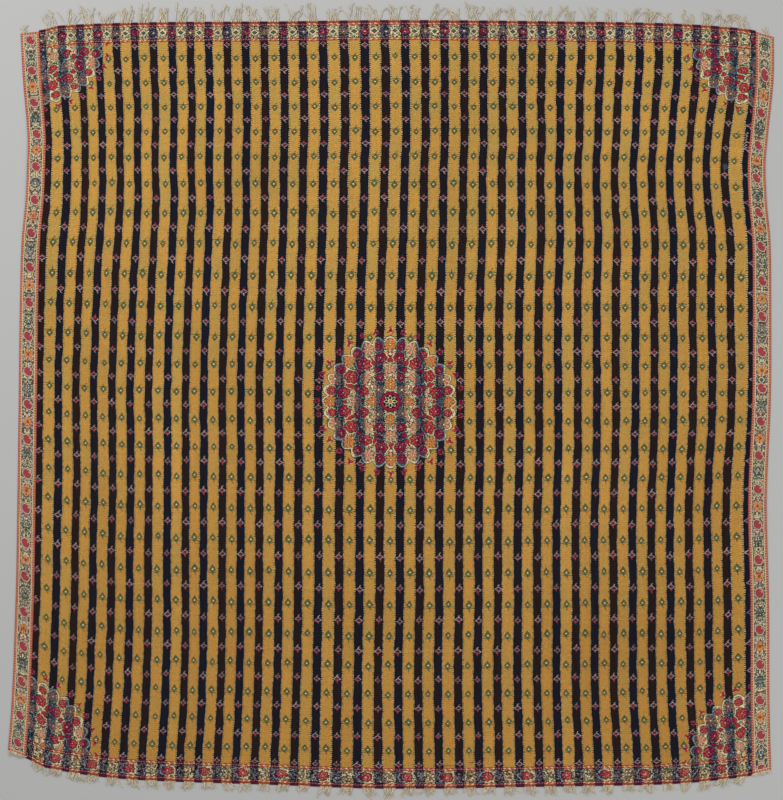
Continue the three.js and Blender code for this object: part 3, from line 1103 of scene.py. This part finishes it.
@dataclass(frozen=True)
class BorderWeave:
    """The side borders: a rose and leaf trail between two ticked guards, in millimetres."""

    yarn: float = 0.7
    drift: float = 2.0
    repeat: float = 82.0
    guard: float = 8.2
    guard_row: float = 5.9
    tick: float = 6.1
    leaf_cell: float = 2.1
    rose: tuple[float, float] = (9.1, 12.0)
    tilt: float = 0.5
    wool: Wool = field(default_factory=Wool)

    def build(self) -> bpy.types.Material:
        """Makes the material."""
        material, pen = new_material("border_cloth")
        w, v = worn_place(pen, self.yarn, self.drift)
        end = HALF_LENGTH / MM - abs(v)
        side = BORDER_WIDTH / MM / 2 - abs(w)
        # Guards: a dark line, a pale line and a coral row of brick and pale squares
        g = side.lowest(end)
        from_row = abs(g - self.guard_row * 0.55)
        square = pen.choose(end < side, v, w).wrap(self.tick)
        colour = pen.over(
            self.trail(pen, w, v),
            (g < self.guard, Dye.MOSS),
            (g < self.guard - 0.9, Dye.CREAM),
            (g < self.guard_row, Dye.CORAL),
            ((from_row < 1.9) & (square < 2.9), Dye.BRICK),
            ((from_row < 1.6) & (square > 3.4) & (square < 5.6), Dye.PEACH),
            (g < 0.9, Dye.ROSE),
        )
        fade = pen.noise(pen.map(WEAVE_MAP), 5.0, 3)
        self.wool.finish(pen, pen.shade(colour, fade * 0.34 + 0.79))
        return material

    def trail(self, pen: Pen, w: Num, v: Num) -> bpy.types.NodeSocket:
        """Roses with leaf and flower clusters halfway, on a ground of small leaves.

        Args:
            pen: lays the nodes.
            w: across the border from its middle.
            v: along the cloth.

        Returns:
            The colour.
        """
        # Place along the trail: roses at whole numbers, clusters halfway
        even = pen.split(pen.map(WEAVE_MAP))[1] * (1 / MM)
        z = pen.split(pen.map(TRAIL_MAP))[0] - (v - even) / self.repeat
        rose_at = z.nearest()
        fz = (z - rose_at) * self.repeat
        cluster_at = z.floor()
        fc = (z - cluster_at - 0.5) * self.repeat
        own = pen.chance(rose_at, 5.0)
        # Small leaves and pale flecks, slanting away from the middle to both sides
        orange = cluster_at.wrap(2) > 0.5
        aw = abs(w + (own[2] - 0.5) * 3)
        cell = pen.vector(aw * 0.8 + v * 0.4, v * 0.66 - aw * 0.5)
        hue, tone, centre = pen.leaves(cell, self.leaf_cell)
        turned = (angle(w, fc) * 8).cosine()
        bunch = length(w / 10.6, fc / pen.choose(orange, 15.0, 12.2)) + (tone - 0.5) * 0.22
        grassy = pen.pick(hue, (
            (0, Dye.LEAF), (0.14, Dye.CREAM), (0.4, Dye.SLATE), (0.5, Dye.ASH),
            (0.64, Dye.TAN), (0.74, Dye.CREAM), (0.88, Dye.BRICK),
        ))
        leafy = pen.pick(hue, (
            (0, Dye.LEAF), (0.22, Dye.SLATE), (0.42, Dye.CREAM), (0.58, Dye.PALE_BLUE),
            (0.72, Dye.ASH), (0.84, Dye.SAGE),
        ))
        fiery = pen.over(
            pen.dye(turned > -0.1, Dye.PEACH, Dye.ORANGE),
            ((hue > 0.8) & (bunch > 0.4), Dye.RUST),
            (hue < 0.16, Dye.CORAL),
            (bunch < 0.3, Dye.RUST),
        )
        clump = pen.dye(orange, pen.dye(centre > 0.5, leafy, Dye.MOSS), fiery)
        # Scrolling stem beside the roses
        stem = abs(w - (z * (2 * math.pi)).sine() * 9.4)
        by_rose = abs(fz) < self.repeat * 0.25
        # Rose, tilted
        rx = w + (own[0] - 0.5) * 1.6
        ry = fz + (own[1] - 0.5) * 3.4
        ax = (rx * math.cos(self.tilt) - ry * math.sin(self.tilt)) / self.rose[0]
        ay = (rx * math.sin(self.tilt) + ry * math.cos(self.tilt)) / self.rose[1]
        lobes = (angle(ax, ay) * 7).cosine()
        d = length(ax, ay) / (lobes * 0.05 + 0.95)
        petal = pen.dye(tone * 0.6 + (lobes < -0.4) * 0.4, Dye.ROSE, Dye.ROSE_DEEP)
        return pen.over(
            pen.shade(grassy, tone * 0.3 + 0.82),
            (centre > 0.55, Dye.MOSS),
            (bunch < 1.0, clump),
            (by_rose & (stem < 0.7), Dye.MOSS),
            (d < 1.27, Dye.MOSS),
            (d < 1.17, Dye.CREAM),
            (d < 1.03, Dye.TAN),
            (d < 1.0, petal),
            (length(rx - 5.2, ry + 3.4) < 1.3, Dye.CREAM),
        )


@dataclass(frozen=True)
class Yarn:
    """Loose twisted yarn of the fringe or the sewing."""

    name: str
    light: Dye
    dark: Dye
    tone: float = 90.0
    twist: float = 900.0
    relief: float = 0.2
    roughness: float = 0.85
    specular: float = 0.2
    sheen: float = 0.3

    def build(self) -> bpy.types.Material:
        """Makes the material."""
        material, pen = new_material(self.name)
        place = pen.node("ShaderNodeTexCoord").outputs["Object"]
        tone = pen.noise(place, self.tone, 3)
        ply = pen.noise(place, self.twist, 2)
        bump = pen.node(
            "ShaderNodeBump", {"Height": ply, "Strength": 0.6, "Distance": self.relief * MM}
        )
        colour = pen.dye((tone - 0.3) * 2.2, self.dark, self.light)
        # The ply noise that raises the relief also darkens the colour where it is low: painted
        # shade in the grooves between the plies
        pen.surface({
            "Base Color": pen.shade(colour, ply * 0.5 + 0.75), "Roughness": self.roughness,
            "Specular IOR Level": self.specular, "Sheen Weight": self.sheen, "Normal": bump,
        })
        return material


def new_object(name: str, data: bpy.types.ID) -> bpy.types.Object:
    """An object for a mesh, curve, light or camera, at the origin of the scene."""
    made = bpy.data.objects.new(name, data)
    bpy.context.scene.collection.objects.link(made)
    return made


def plain_mesh(holder: bpy.types.Object) -> bpy.types.Mesh:
    """The mesh that an object shows once its curve or its modifier is worked out."""
    seen = holder.evaluated_get(bpy.context.evaluated_depsgraph_get())
    return bpy.data.meshes.new_from_object(seen)


@dataclass(frozen=True)
class Sheet:
    """A thin closed shell of cloth over a grid of the loom's places.

    us and vs are the flat places of the grid lines, map_us and map_vs what the weave map
    says there, all in metres. folds is how many columns the bake's map is folded into.
    trail is the number of the rose at each grid line along, on a border.
    """

    name: str
    us: np.ndarray
    vs: np.ndarray
    map_us: np.ndarray
    map_vs: np.ndarray
    folds: int = 1
    drift: bool = False
    trail: np.ndarray | None = None
    # How much lower the upper face lies than the solid's
    sink: float = 0.1 * MM
    sharp_degrees: float = 50.0

    def points(self) -> tuple[np.ndarray, np.ndarray]:
        """The grid's points on the under and the upper face."""
        u, v = np.meshgrid(self.us, self.vs)
        if self.drift:
            u = u + DRIFT.at(u, v)
        low = LIE.place(u, v) + SHIFT
        low[..., 2] += swell(u, v)
        high = low.copy()
        edge = np.ones_like(u)
        edge[[0, -1], :] = edge[:, [0, -1]] = 0
        high[..., 2] += CLOTH_THICKNESS + cockle(u, v) * edge - self.sink
        return low, high

    def build(self, material: bpy.types.Material) -> bpy.types.Object:
        """Makes the shell with its maps.

        Args:
            material: the cloth's finish.

        Returns:
            The piece.
        """
        low, high = self.points()
        rows, wide = low.shape[:2]
        count = rows * wide
        grid = np.arange(count).reshape(rows, wide)
        a, b = grid[:-1, :-1].ravel(), grid[:-1, 1:].ravel()
        c, d = grid[1:, 1:].ravel(), grid[1:, :-1].ravel()
        upper = np.stack([a, b, c, d], 1) + count
        under = np.stack([a, d, c, b], 1)
        rim = np.concatenate([grid[0, :-1], grid[:-1, -1], grid[-1, :0:-1], grid[:0:-1, 0]])
        ahead = np.roll(rim, -1)
        sides = np.stack([rim, ahead, ahead + count, rim + count], 1)
        faces = np.concatenate([upper, under, sides])
        mesh = bpy.data.meshes.new(self.name)
        mesh.from_pydata(np.concatenate([low.reshape(-1, 3), high.reshape(-1, 3)]).tolist(),
                         [], faces.tolist())
        self.add_maps(mesh, faces % count, rows, wide)
        mesh.materials.append(material)
        mesh.shade_smooth()
        mesh.set_sharp_from_angle(angle=math.radians(self.sharp_degrees))
        return new_object(self.name, mesh)

    def add_maps(self, mesh: bpy.types.Mesh, faces: np.ndarray, rows: int, wide: int) -> None:
        """Adds the weave map and the map that a bake may use.

        Args:
            mesh: the shell.
            faces: each face's grid points.
            rows: grid lines along.
            wide: grid lines across.
        """
        j, i = faces // wide, faces % wide
        weave = np.stack([self.map_us[i], self.map_vs[j]], -1)
        u = (self.us[i] - self.us[0]) / (self.us[-1] - self.us[0])
        per_fold = (rows - 1) / self.folds
        fold = np.minimum((j.min(1) // per_fold), self.folds - 1)[:, None]
        v = (j - fold * per_fold) / per_fold
        margin = FOLDED_MARGIN if self.folds > 1 else PLAIN_MARGIN
        scale = 1 - 2 * margin
        bake = np.stack([(fold + margin + u * scale) / self.folds, margin + v * scale], -1)
        maps = {WEAVE_MAP: weave, BAKE_MAP: bake}
        if self.trail is not None:
            maps[TRAIL_MAP] = np.stack([self.trail[j], np.zeros(j.shape)], -1)
        for name, places in maps.items():
            layer = mesh.uv_layers.new(name=name)
            layer.data.foreach_set("uv", places.reshape(-1))
        mesh.uv_layers.active = mesh.uv_layers[WEAVE_MAP]
        mesh.uv_layers[WEAVE_MAP].active_render = True


@dataclass(frozen=True)
class Field:
    """The striped field with its end bands."""

    columns: int = FIELD_COLUMNS
    rows: int = 160

    def build(self, material: bpy.types.Material) -> bpy.types.Object:
        """Makes the field and says what it is to the frame.

        Args:
            material: the field's finish.

        Returns:
            The piece.
        """
        map_us = np.linspace(*LIE.loom_width, self.columns + 1)
        map_vs = np.linspace(*LIE.loom_length, self.rows + 1)
        sheet = Sheet(
            "field_cloth", LIE.flat_u(map_us), LIE.flat_v(map_vs), map_us, map_vs, drift=True
        )
        piece = sheet.build(material)
        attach(piece, "root")
        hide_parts("field")
        return piece


@dataclass(frozen=True)
class SideBorder:
    """One side border, woven by itself and sewn to the field.

    trail has rows of two numbers: a place along the cloth in millimetres, and the number of
    the rose there. Halfway between two roses is a cluster.
    """

    side: Side
    trail: tuple[tuple[float, float], ...]
    columns: int = 8
    rows: int = 216

    def build(self, material: bpy.types.Material) -> bpy.types.Object:
        """Makes the border and says what it is to the frame.

        Args:
            material: the border's finish, the same on both sides.

        Returns:
            The piece.
        """
        across = np.linspace(0, 1, self.columns + 1)
        us = self.side.value * (HALF_FIELD + SEAM_GAP + across * (BORDER_WIDTH - SEAM_GAP))
        map_us = (across - 0.5) * BORDER_WIDTH
        vs = np.linspace(-HALF_LENGTH, HALF_LENGTH, self.rows + 1)
        name = f"border_{self.side.name.lower()}"
        sheet = Sheet(
            f"{name}_cloth", np.sort(us), vs, map_us, vs, folds=6,
            trail=smooth(self.trail, 1, vs / MM),
        )
        piece = sheet.build(material)
        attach(piece, "root")
        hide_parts(name)
        return piece


class Tree(Pen):
    """A Geometry Nodes tree with named inputs, run once on some roots and then gone."""

    def __init__(self, name: str) -> None:
        """Starts a tree that takes and gives a geometry."""
        super().__init__(bpy.data.node_groups.new(name, "GeometryNodeTree"))
        for way in ("INPUT", "OUTPUT"):
            self.tree.interface.new_socket(
                "Geometry", in_out=way, socket_type="NodeSocketGeometry"
            )
        self.entry = self.node("NodeGroupInput")
        self.exit = self.node("NodeGroupOutput")
        self.values: dict[str, Any] = {}

    def input(self, name: str, kind: str, value: Any) -> Num:
        """Adds a named input and remembers the value that it will get."""
        made = self.tree.interface.new_socket(
            name, in_out="INPUT", socket_type=f"NodeSocket{kind}"
        )
        self.values[made.identifier] = value
        return Num(self, next(s for s in self.entry.outputs if s.identifier == made.identifier))

    def sizes(self, **values: float) -> tuple[Num, ...]:
        """Adds one input for each size, named after it."""
        return tuple(
            self.input(name.replace("_", " ").title(), "Float", value)
            for name, value in values.items()
        )

    def random(self, low: Any, high: Any, seed: Num, group: Num | None = None) -> Num:
        """A random number for each point, or the same one for each group of points."""
        inputs = {2: low, 3: high, "Seed": seed}
        if group is not None:
            inputs["ID"] = group
        return Num(self, self.node("FunctionNodeRandomValue", inputs).outputs[1])

    def attribute(self, name: str) -> Num:
        """A named number of the roots."""
        return Num(self, self.node("GeometryNodeInputNamedAttribute", {"Name": name}).outputs[0])

    def line(self, start: tuple, end: tuple, count: int) -> tuple[Any, Num]:
        """A straight line of points, and how far along it each is, from 0 to 1."""
        whole = self.node("GeometryNodeCurvePrimitiveLine", {"Start": start, "End": end})
        made = self.node("GeometryNodeResampleCurve", {"Curve": whole, "Count": count})
        return made, Num(self, self.node("GeometryNodeSplineParameter").outputs[0])

    def tube(self, curve: Any, thick: Num, sides: int) -> Any:
        """A closed tube along a curve."""
        inputs = {"Resolution": sides, "Radius": thick}
        ring = self.node("GeometryNodeCurvePrimitiveCircle", inputs)
        inputs = {"Curve": curve, "Profile Curve": ring, "Fill Caps": True}
        return self.node("GeometryNodeCurveToMesh", inputs)

    def run(self, geometry: Any, finish: Num, roots: bpy.types.Mesh, name: str) -> bpy.types.Mesh:
        """Ends the tree, runs it on some roots and gives the plain mesh.

        Args:
            geometry: what the tree has made.
            finish: the input with the material.
            roots: points that the tree works from.
            name: the mesh's name.

        Returns:
            The finished mesh.
        """
        plain = self.node("GeometryNodeRealizeInstances", {0: geometry})
        done = self.node("GeometryNodeSetMaterial", {"Geometry": plain, "Material": finish})
        self.feed(self.exit.inputs[0], done)
        holder = new_object(f"{name}_roots", roots)
        modifier = holder.modifiers.new("tree", "NODES")
        modifier.node_group = self.tree
        for identifier, value in self.values.items():
            modifier[identifier] = value
        mesh = plain_mesh(holder)
        mesh.name = name
        holder.modifiers.remove(modifier)
        bpy.data.objects.remove(holder)
        bpy.data.node_groups.remove(self.tree)
        return mesh


def root_mesh(name: str, points: np.ndarray, **numbers: np.ndarray) -> bpy.types.Mesh:
    """Loose points, each with some named numbers.

    Args:
        name: the mesh's name.
        points: one row of x, y, z for each point.
        numbers: one value for each point, by name.

    Returns:
        The mesh.
    """
    mesh = bpy.data.meshes.new(f"{name}_points")
    mesh.from_pydata(points.tolist(), [], [])
    for key, values in numbers.items():
        layer = mesh.attributes.new(key, "FLOAT", "POINT")
        layer.data.foreach_set("value", values.astype(np.float32))
    return mesh


@dataclass(frozen=True)
class Strands:
    """Sizes of the loose warp ends of one fringe, in metres. Each is two plies, twisted."""

    per_stripe: int
    reach: tuple[float, float]
    lean: float
    wave: tuple[float, float]
    twist: float
    steps: int
    curl: float = 0.012
    ply: float = 0.00056
    ply_offset: float = 0.0005
    taper: float = 0.4
    rise: float = 0.0022
    turns: tuple[float, float] = (4.0, 11.0)
    # Powers of the way along a strand by which it waves and curls
    wave_power: float = 0.7
    curl_power: float = 2.4
    # How much further apart the plies are at the tip, and how far over the surface they end
    loosen: float = 1.2
    clear: float = 1.05
    sides: int = 4

    def grow(self, name: str, end: End, roots: bpy.types.Mesh, seed: int,
             finish: bpy.types.Material) -> bpy.types.Mesh:
        """Grows one wavy tapered ply from every root.

        Args:
            name: the mesh's name.
            end: which end of the cloth.
            roots: points with the numbers lean, stretch, strand and side.
            seed: starts the random numbers.
            finish: the yarn's material.

        Returns:
            All the strands in one mesh.
        """
        tree = Tree(name)
        (shortest, longest, spread, least_wave, most_wave, most_curl, twist, ply, ply_offset,
         taper, most_rise, heading) = tree.sizes(
            shortest=self.reach[0], longest=self.reach[1], lean=self.lean,
            least_wave=self.wave[0], most_wave=self.wave[1], curl=self.curl,
            twist=self.twist, ply=self.ply, ply_offset=self.ply_offset,
            taper=self.taper, rise=self.rise, heading=float(end.value),
        )
        start = tree.input("Seed", "Int", seed)
        material = tree.input("Material", "Material", finish)
        seeds = [start + n for n in range(7)]
        strand = tree.attribute("strand")
        values = {
            "reach": tree.random(shortest, longest, seeds[0], strand) * tree.attribute("stretch"),
            "lean": tree.attribute("lean") + tree.random(spread * -1, spread, seeds[1], strand),
            "wave": tree.random(least_wave, most_wave, seeds[2], strand),
            "phase": tree.random(0.0, 2 * math.pi, seeds[3], strand),
            "turns": tree.random(*self.turns, seeds[4], strand),
            "rise": tree.random(0.0, most_rise, seeds[5], strand),
            "curl": tree.random(most_curl * -1, most_curl, seeds[6], strand),
            "side": tree.attribute("side"),
        }
        keep = tree.node("GeometryNodeCaptureAttribute", {"Geometry": tree.entry})
        for key, value in values.items():
            keep.capture_items.new("FLOAT", key)
            tree.feed(keep.inputs[key], value)
        keep.capture_items.new("VECTOR", "root")
        tree.feed(keep.inputs["root"], tree.node("GeometryNodeInputPosition"))
        reach, lean, wave, phase, turns, rise, curl, side = (
            Num(tree, keep.outputs[key]) for key in values
        )
        root = keep.outputs["root"]
        line, t = tree.line((0.0, 0.0, 0.0), (0.0, 0.01, 0.0), self.steps)
        many = tree.node("GeometryNodeInstanceOnPoints", {"Points": keep, "Instance": line})
        loose = tree.node("GeometryNodeRealizeInstances", {0: many})
        # The strand's own way: it leans, waves, curls and sinks to the surface
        swing = ((t * turns + phase).sine() - phase.sine()) * (wave * t ** self.wave_power)
        x = t * lean + swing + t ** self.curl_power * curl
        away = ply_offset * (t ** 3 * self.loosen + 1)
        fall = ply * self.clear + away - tree.split(root)[2]
        z = (t * (math.pi / 2)).sine() * fall + (t * math.pi).sine() * rise
        # The ply's way round the strand
        around = t * twist + (side + phase)
        offset = tree.vector(
            around.cosine() * away + x, t * reach * heading, around.sine() * away + z
        )
        place = tree.node("ShaderNodeVectorMath", {0: root, 1: offset}, operation="ADD")
        bent = tree.node("GeometryNodeSetPosition", {"Geometry": loose, "Position": place})
        thin = 1 - t ** 2 * taper
        sized = tree.node("GeometryNodeSetCurveRadius", {"Curve": bent, "Radius": thin})
        return tree.run(tree.tube(sized, ply, self.sides), material, roots, name)


@dataclass(frozen=True)
class Fringe:
    """The warp ends past one end band, on their own narrow strip of cloth."""

    end: End
    strands: Strands
    seed: int
    # Loose ends of the side borders: middle, half width, number, stretch
    border_ends: tuple[tuple[float, float, int, float], ...]
    half_tuft: float = 0.0115
    depth: float = 0.0014
    # Least and most that a tuft, its strands and the borders' own ends are stretched
    tuft_stretch: tuple[float, float] = (0.78, 1.12)
    strand_stretch: tuple[float, float] = (0.7, 1.05)
    end_stretch: tuple[float, float] = (0.7, 1.2)
    # Where the top's strands begin to lean outwards, how far that goes, and how strongly
    outward: tuple[float, float, float] = (0.74, 0.1, 0.3)
    # How far inside the cloth's end the strip's two edges read the pattern
    read_at: tuple[float, float] = (0.0008, 0.0002)

    def roots(self) -> bpy.types.Mesh:
        """The points that the strands grow from: in tufts, one to a yellow stripe."""
        chance = np.random.default_rng(self.seed)
        line = self.end.value * (HALF_LENGTH + SEAM_GAP + STRIP_WIDTH - self.depth)
        us, leans, stretches = [], [], []
        for stripe in range(YELLOW_STRIPES):
            middle = float(LIE.flat_u(np.array((stripe - LIE.middle_stripe) * PITCH * MM)))
            number = self.strands.per_stripe + int(chance.integers(-1, 3))
            tuft_lean = chance.normal(0, 0.5) * self.strands.lean
            stretch = chance.uniform(*self.tuft_stretch)
            spots = np.linspace(-1, 1, number) + chance.normal(0, 0.14, number)
            us += list(middle + np.clip(spots, -1, 1) * self.half_tuft)
            leans += list(tuft_lean - spots * chance.uniform(-0.5, 0.7) * self.strands.lean)
            stretches += list(stretch * chance.uniform(*self.strand_stretch, number))
        for middle, half, number, stretch in self.border_ends:
            spots = chance.uniform(-1, 1, number)
            us += list(middle + spots * half)
            leans += list(chance.normal(0, 0.5, number) * self.strands.lean * stretch)
            stretches += list(chance.uniform(*self.end_stretch, number) * stretch)
        us, leans, stretches = np.array(us), np.array(leans), np.array(stretches)
        line = np.where(np.abs(us) > HALF_FIELD, line - self.end.value * STRIP_WIDTH, line)
        if self.end is End.TOP:
            begin, most, strength = self.outward
            leans -= np.clip(-us - begin, 0, most) * strength * (us > -HALF_FIELD)
        us = np.where(np.abs(us) > HALF_FIELD, us, us + DRIFT.at(us, line))
        points = LIE.place(us, line) + SHIFT
        points[:, 2] += swell(us, line) + self.strands.ply + self.strands.ply_offset
        count = len(us)
        return root_mesh(
            self.end.name.lower(), np.repeat(points, 2, 0), lean=np.repeat(leans, 2),
            stretch=np.repeat(stretches, 2), strand=np.repeat(np.arange(count), 2),
            side=np.tile([0.0, math.pi], count),
        )

    def strip(self, material: bpy.types.Material) -> bpy.types.Object:
        """The narrow strip of cloth that carries the strands.

        Args:
            material: the field's finish, whose stripes run on.

        Returns:
            The strip.
        """
        loom = LIE.loom_length[self.end is End.TOP]
        inner, outer = HALF_LENGTH + SEAM_GAP, HALF_LENGTH + SEAM_GAP + STRIP_WIDTH
        map_us = np.linspace(*LIE.loom_width, FIELD_COLUMNS + 1)
        vs = np.array([inner, outer]) * self.end.value
        map_vs = loom - self.end.value * np.array(self.read_at)
        order = np.argsort(vs)
        sheet = Sheet(
            f"fringe_{self.end.name.lower()}_yarn", LIE.flat_u(map_us), vs[order],
            map_us, map_vs[order], drift=True,
        )
        return sheet.build(material)

    def build(self, cloth: bpy.types.Material, yarn: bpy.types.Material) -> bpy.types.Object:
        """Makes the fringe and says what it is to the frame.

        Args:
            cloth: the field's finish.
            yarn: the strands' finish.

        Returns:
            The piece.
        """
        piece = self.strip(cloth)
        name = f"fringe_{self.end.name.lower()}"
        mesh = self.strands.grow(f"{name}_strands", self.end, self.roots(), self.seed, yarn)
        loose = new_object(f"{name}_strands", mesh)
        join(piece, loose)
        piece.data.uv_layers.remove(piece.data.uv_layers[BAKE_MAP])
        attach(piece, "root")
        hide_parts(name)
        return piece


FRINGES = (
    Fringe(
        End.TOP,
        Strands(
            per_stripe=7, reach=(0.028, 0.044), lean=0.014, wave=(0.0008, 0.0034),
            twist=21.0, steps=24,
        ),
        seed=11, border_ends=((-0.856, 0.004, 4, 0.6), (0.852, 0.003, 3, 0.5)),
    ),
    Fringe(
        End.BOTTOM,
        Strands(
            per_stripe=12, reach=(0.014, 0.025), lean=0.009, wave=(0.0003, 0.0022),
            twist=11.0, steps=13, curl=0.007,
        ),
        seed=23, border_ends=((-0.845, 0.019, 30, 0.36), (0.845, 0.019, 26, 0.3)),
    ),
)


def join(piece: bpy.types.Object, other: bpy.types.Object) -> None:
    """Joins another object's mesh into a piece."""
    chosen = [piece, other]
    with bpy.context.temp_override(
        active_object=piece, object=piece, selected_objects=chosen,
        selected_editable_objects=chosen,
    ):
        bpy.ops.object.join()


@dataclass(frozen=True)
class Seam:
    """Small slanting stitches that join a border to the field, in metres."""

    side: Side
    spacing: float = 0.0052
    inset: float = 0.004
    half_span: float = 0.0017
    thread: float = 0.00024
    height: float = 0.00034
    slant: float = 0.6
    stray: float = 0.18
    seed: int = 31

    def build(self, material: bpy.types.Material) -> bpy.types.Object:
        """Makes the stitches and says what they are to the frame.

        Args:
            material: the thread's finish.

        Returns:
            The piece.
        """
        name = f"seam_{self.side.name.lower()}"
        number = int(CLOTH_LENGTH / self.spacing)
        chance = np.random.default_rng(self.seed)
        vs = np.linspace(-1, 1, number) * (HALF_LENGTH - self.inset)
        vs += chance.normal(0, self.spacing * 0.12, number)
        us = np.full(number, self.side.value * (HALF_FIELD + SEAM_GAP / 2))
        points = LIE.place(us, vs) + SHIFT
        points[:, 2] += CLOTH_THICKNESS + swell(us, vs)
        tree = Tree(name)
        span, thread, height, slant = tree.sizes(
            half_span=self.half_span, thread=self.thread, height=self.height, slant=self.slant
        )
        start = tree.input("Seed", "Int", self.seed)
        finish = tree.input("Material", "Material", material)
        line, t = tree.line((-1.0, 0.0, 0.0), (1.0, 0.0, 0.0), 5)
        arch = (t * math.pi).sine() * (height * 2) - height
        place = tree.vector((t * 2 - 1) * span, 0.0, arch)
        bent = tree.node("GeometryNodeSetPosition", {"Geometry": line, "Position": place})
        turn = slant + tree.random(-self.stray, self.stray, start)
        many = tree.node("GeometryNodeInstanceOnPoints", {
            "Points": tree.entry, "Instance": tree.tube(bent, thread, 4),
            "Rotation": tree.vector(0.0, 0.0, turn),
        })
        piece = new_object(name, tree.run(many, finish, root_mesh(name, points), name))
        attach(piece, "root")
        return piece


@dataclass(frozen=True)
class Mend:
    """An old mend in white thread on the dark stripe beside the right border."""

    # Ends of the zigzag's middle line, in millimetres as the cloth lies, before the shift
    start: tuple[float, float] = (817.5, 618.0)
    finish: tuple[float, float] = (813.5, 581.0)
    turns: int = 11
    half_width: float = 3.2
    thread: float = 0.32
    # How far the thread dips into the cloth where it turns, and how far it lies over it
    dip: float = -0.1
    over: float = 0.35
    seed: int = 5

    def build(self, material: bpy.types.Material) -> bpy.types.Object:
        """Makes the mend and says what it is to the frame.

        Args:
            material: the thread's finish.

        Returns:
            The piece.
        """
        chance = np.random.default_rng(self.seed)
        t = np.linspace(0, 1, self.turns * 4 + 1)
        sway = 2 / np.pi * np.arcsin(np.sin(t * self.turns * math.pi))
        sway *= 1 + 0.25 * np.sin(t * 9 + 1) + chance.normal(0, 0.08, len(t))
        x = self.start[0] + t * (self.finish[0] - self.start[0]) + sway * self.half_width
        y = self.start[1] + t * (self.finish[1] - self.start[1])
        x, y = x * MM, y * MM
        rise = np.where(np.abs(sway) > 0.9, self.dip, self.over) + self.thread
        z = LIE.lift(x, y) + CLOTH_THICKNESS + rise * MM
        path = np.stack([x, y, z], 1) + SHIFT
        curve = bpy.data.curves.new("mend", "CURVE")
        curve.dimensions = "3D"
        curve.bevel_depth = self.thread * MM
        curve.bevel_resolution = 1
        curve.use_fill_caps = True
        spline = curve.splines.new("POLY")
        spline.points.add(len(path) - 1)
        for point, place in zip(spline.points, path):
            point.co = (*place, 1.0)
        holder = new_object("mend_path", curve)
        mesh = plain_mesh(holder)
        bpy.data.objects.remove(holder)
        mesh.materials.clear()
        mesh.materials.append(material)
        piece = new_object("mend", mesh)
        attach(piece, "root")
        return piece


@dataclass(frozen=True)
class Lamp:
    """A large square soft light that points at the middle of the floor, in metres and watts."""

    name: str
    place: tuple[float, float, float]
    side: float
    power: float

    def build(self) -> None:
        """Makes the light."""
        light = bpy.data.lights.new(self.name, "AREA")
        light.shape = "SQUARE"
        light.size = self.side
        light.energy = self.power
        lamp = new_object(self.name, light)
        lamp.location = self.place
        x, y, z = self.place
        lamp.rotation_euler = math.atan2(math.hypot(x, y), z), 0, math.atan2(y, x) + math.pi / 2


@dataclass(frozen=True)
class Studio:
    """Pale floor, soft light and the camera straight above."""

    frame_width: float = 1.8009
    picture_middle: tuple[float, float] = (1.15 * MM, 3.45 * MM)
    height: float = 4.0
    floor_side: float = 9.0
    floor_drop: float = 0.4 * MM
    floor_colour: tuple[float, ...] = (0.47, 0.465, 0.455, 1.0)
    floor_roughness: float = 0.9
    sensor: float = 36.0
    surround: tuple[float, ...] = (0.95, 0.97, 1.0, 1.0)
    surround_strength: float = 0.42
    lamps: tuple[Lamp, ...] = (
        Lamp("key", (-1.9, 2.3, 3.2), 2.6, 106.0), Lamp("fill", (2.3, -0.9, 3.0), 2.6, 46.0),
    )

    def build(self) -> None:
        """Makes the floor, lights and camera."""
        self.floor()
        for lamp in self.lamps:
            lamp.build()
        world = bpy.data.worlds.new("surround")
        world.use_nodes = True
        background = world.node_tree.nodes["Background"]
        background.inputs[0].default_value = self.surround
        background.inputs[1].default_value = self.surround_strength
        bpy.context.scene.world = world
        self.camera()

    def floor(self) -> None:
        """A plain pale floor just under the cloth."""
        half = self.floor_side / 2
        mesh = bpy.data.meshes.new("floor")
        corners = [(-half, -half), (half, -half), (half, half), (-half, half)]
        mesh.from_pydata([(x, y, -self.floor_drop) for x, y in corners], [], [(0, 1, 2, 3)])
        material, pen = new_material("floor")
        pen.surface({"Base Color": self.floor_colour, "Roughness": self.floor_roughness})
        mesh.materials.append(material)
        new_object("floor", mesh)

    def camera(self) -> None:
        """A camera straight above, framed as the shawl was photographed."""
        lens = bpy.data.cameras.new("camera")
        lens.sensor_fit = "HORIZONTAL"
        lens.sensor_width = self.sensor
        lens.lens = self.sensor * self.height / self.frame_width
        camera = new_object("camera", lens)
        x, y = self.picture_middle
        camera.location = (x + SHIFT[0], y + SHIFT[1], self.height)
        bpy.context.scene.camera = camera
        bpy.context.scene.view_settings.view_transform = "Standard"


def main() -> None:
    """Builds every piece in order."""
    logging.basicConfig(level=logging.INFO, format="%(message)s")
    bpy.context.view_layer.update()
    Studio().build()
    cloth = FieldWeave().build()
    border = BorderWeave().build()
    warp_ends = Yarn("fringe_yarn", Dye.ECRU, Dye.ECRU_WORN).build()
    silk = Yarn("seam_thread", Dye.CORAL, Dye.ROSE).build()
    white = Yarn("mend_thread", Dye.WHITE, Dye.ECRU).build()
    made = [Field().build(cloth)]
    made += [SideBorder(side, ROSES[side]).build(border) for side in Side]
    made += [fringe.build(cloth, warp_ends) for fringe in FRINGES]
    made += [Seam(side).build(silk) for side in Side]
    made.append(Mend().build(white))
    for piece in made:
        LOG.info("%s: %d faces", piece.name, len(piece.data.polygons))
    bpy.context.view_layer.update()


if __name__ == "__main__":
    main()
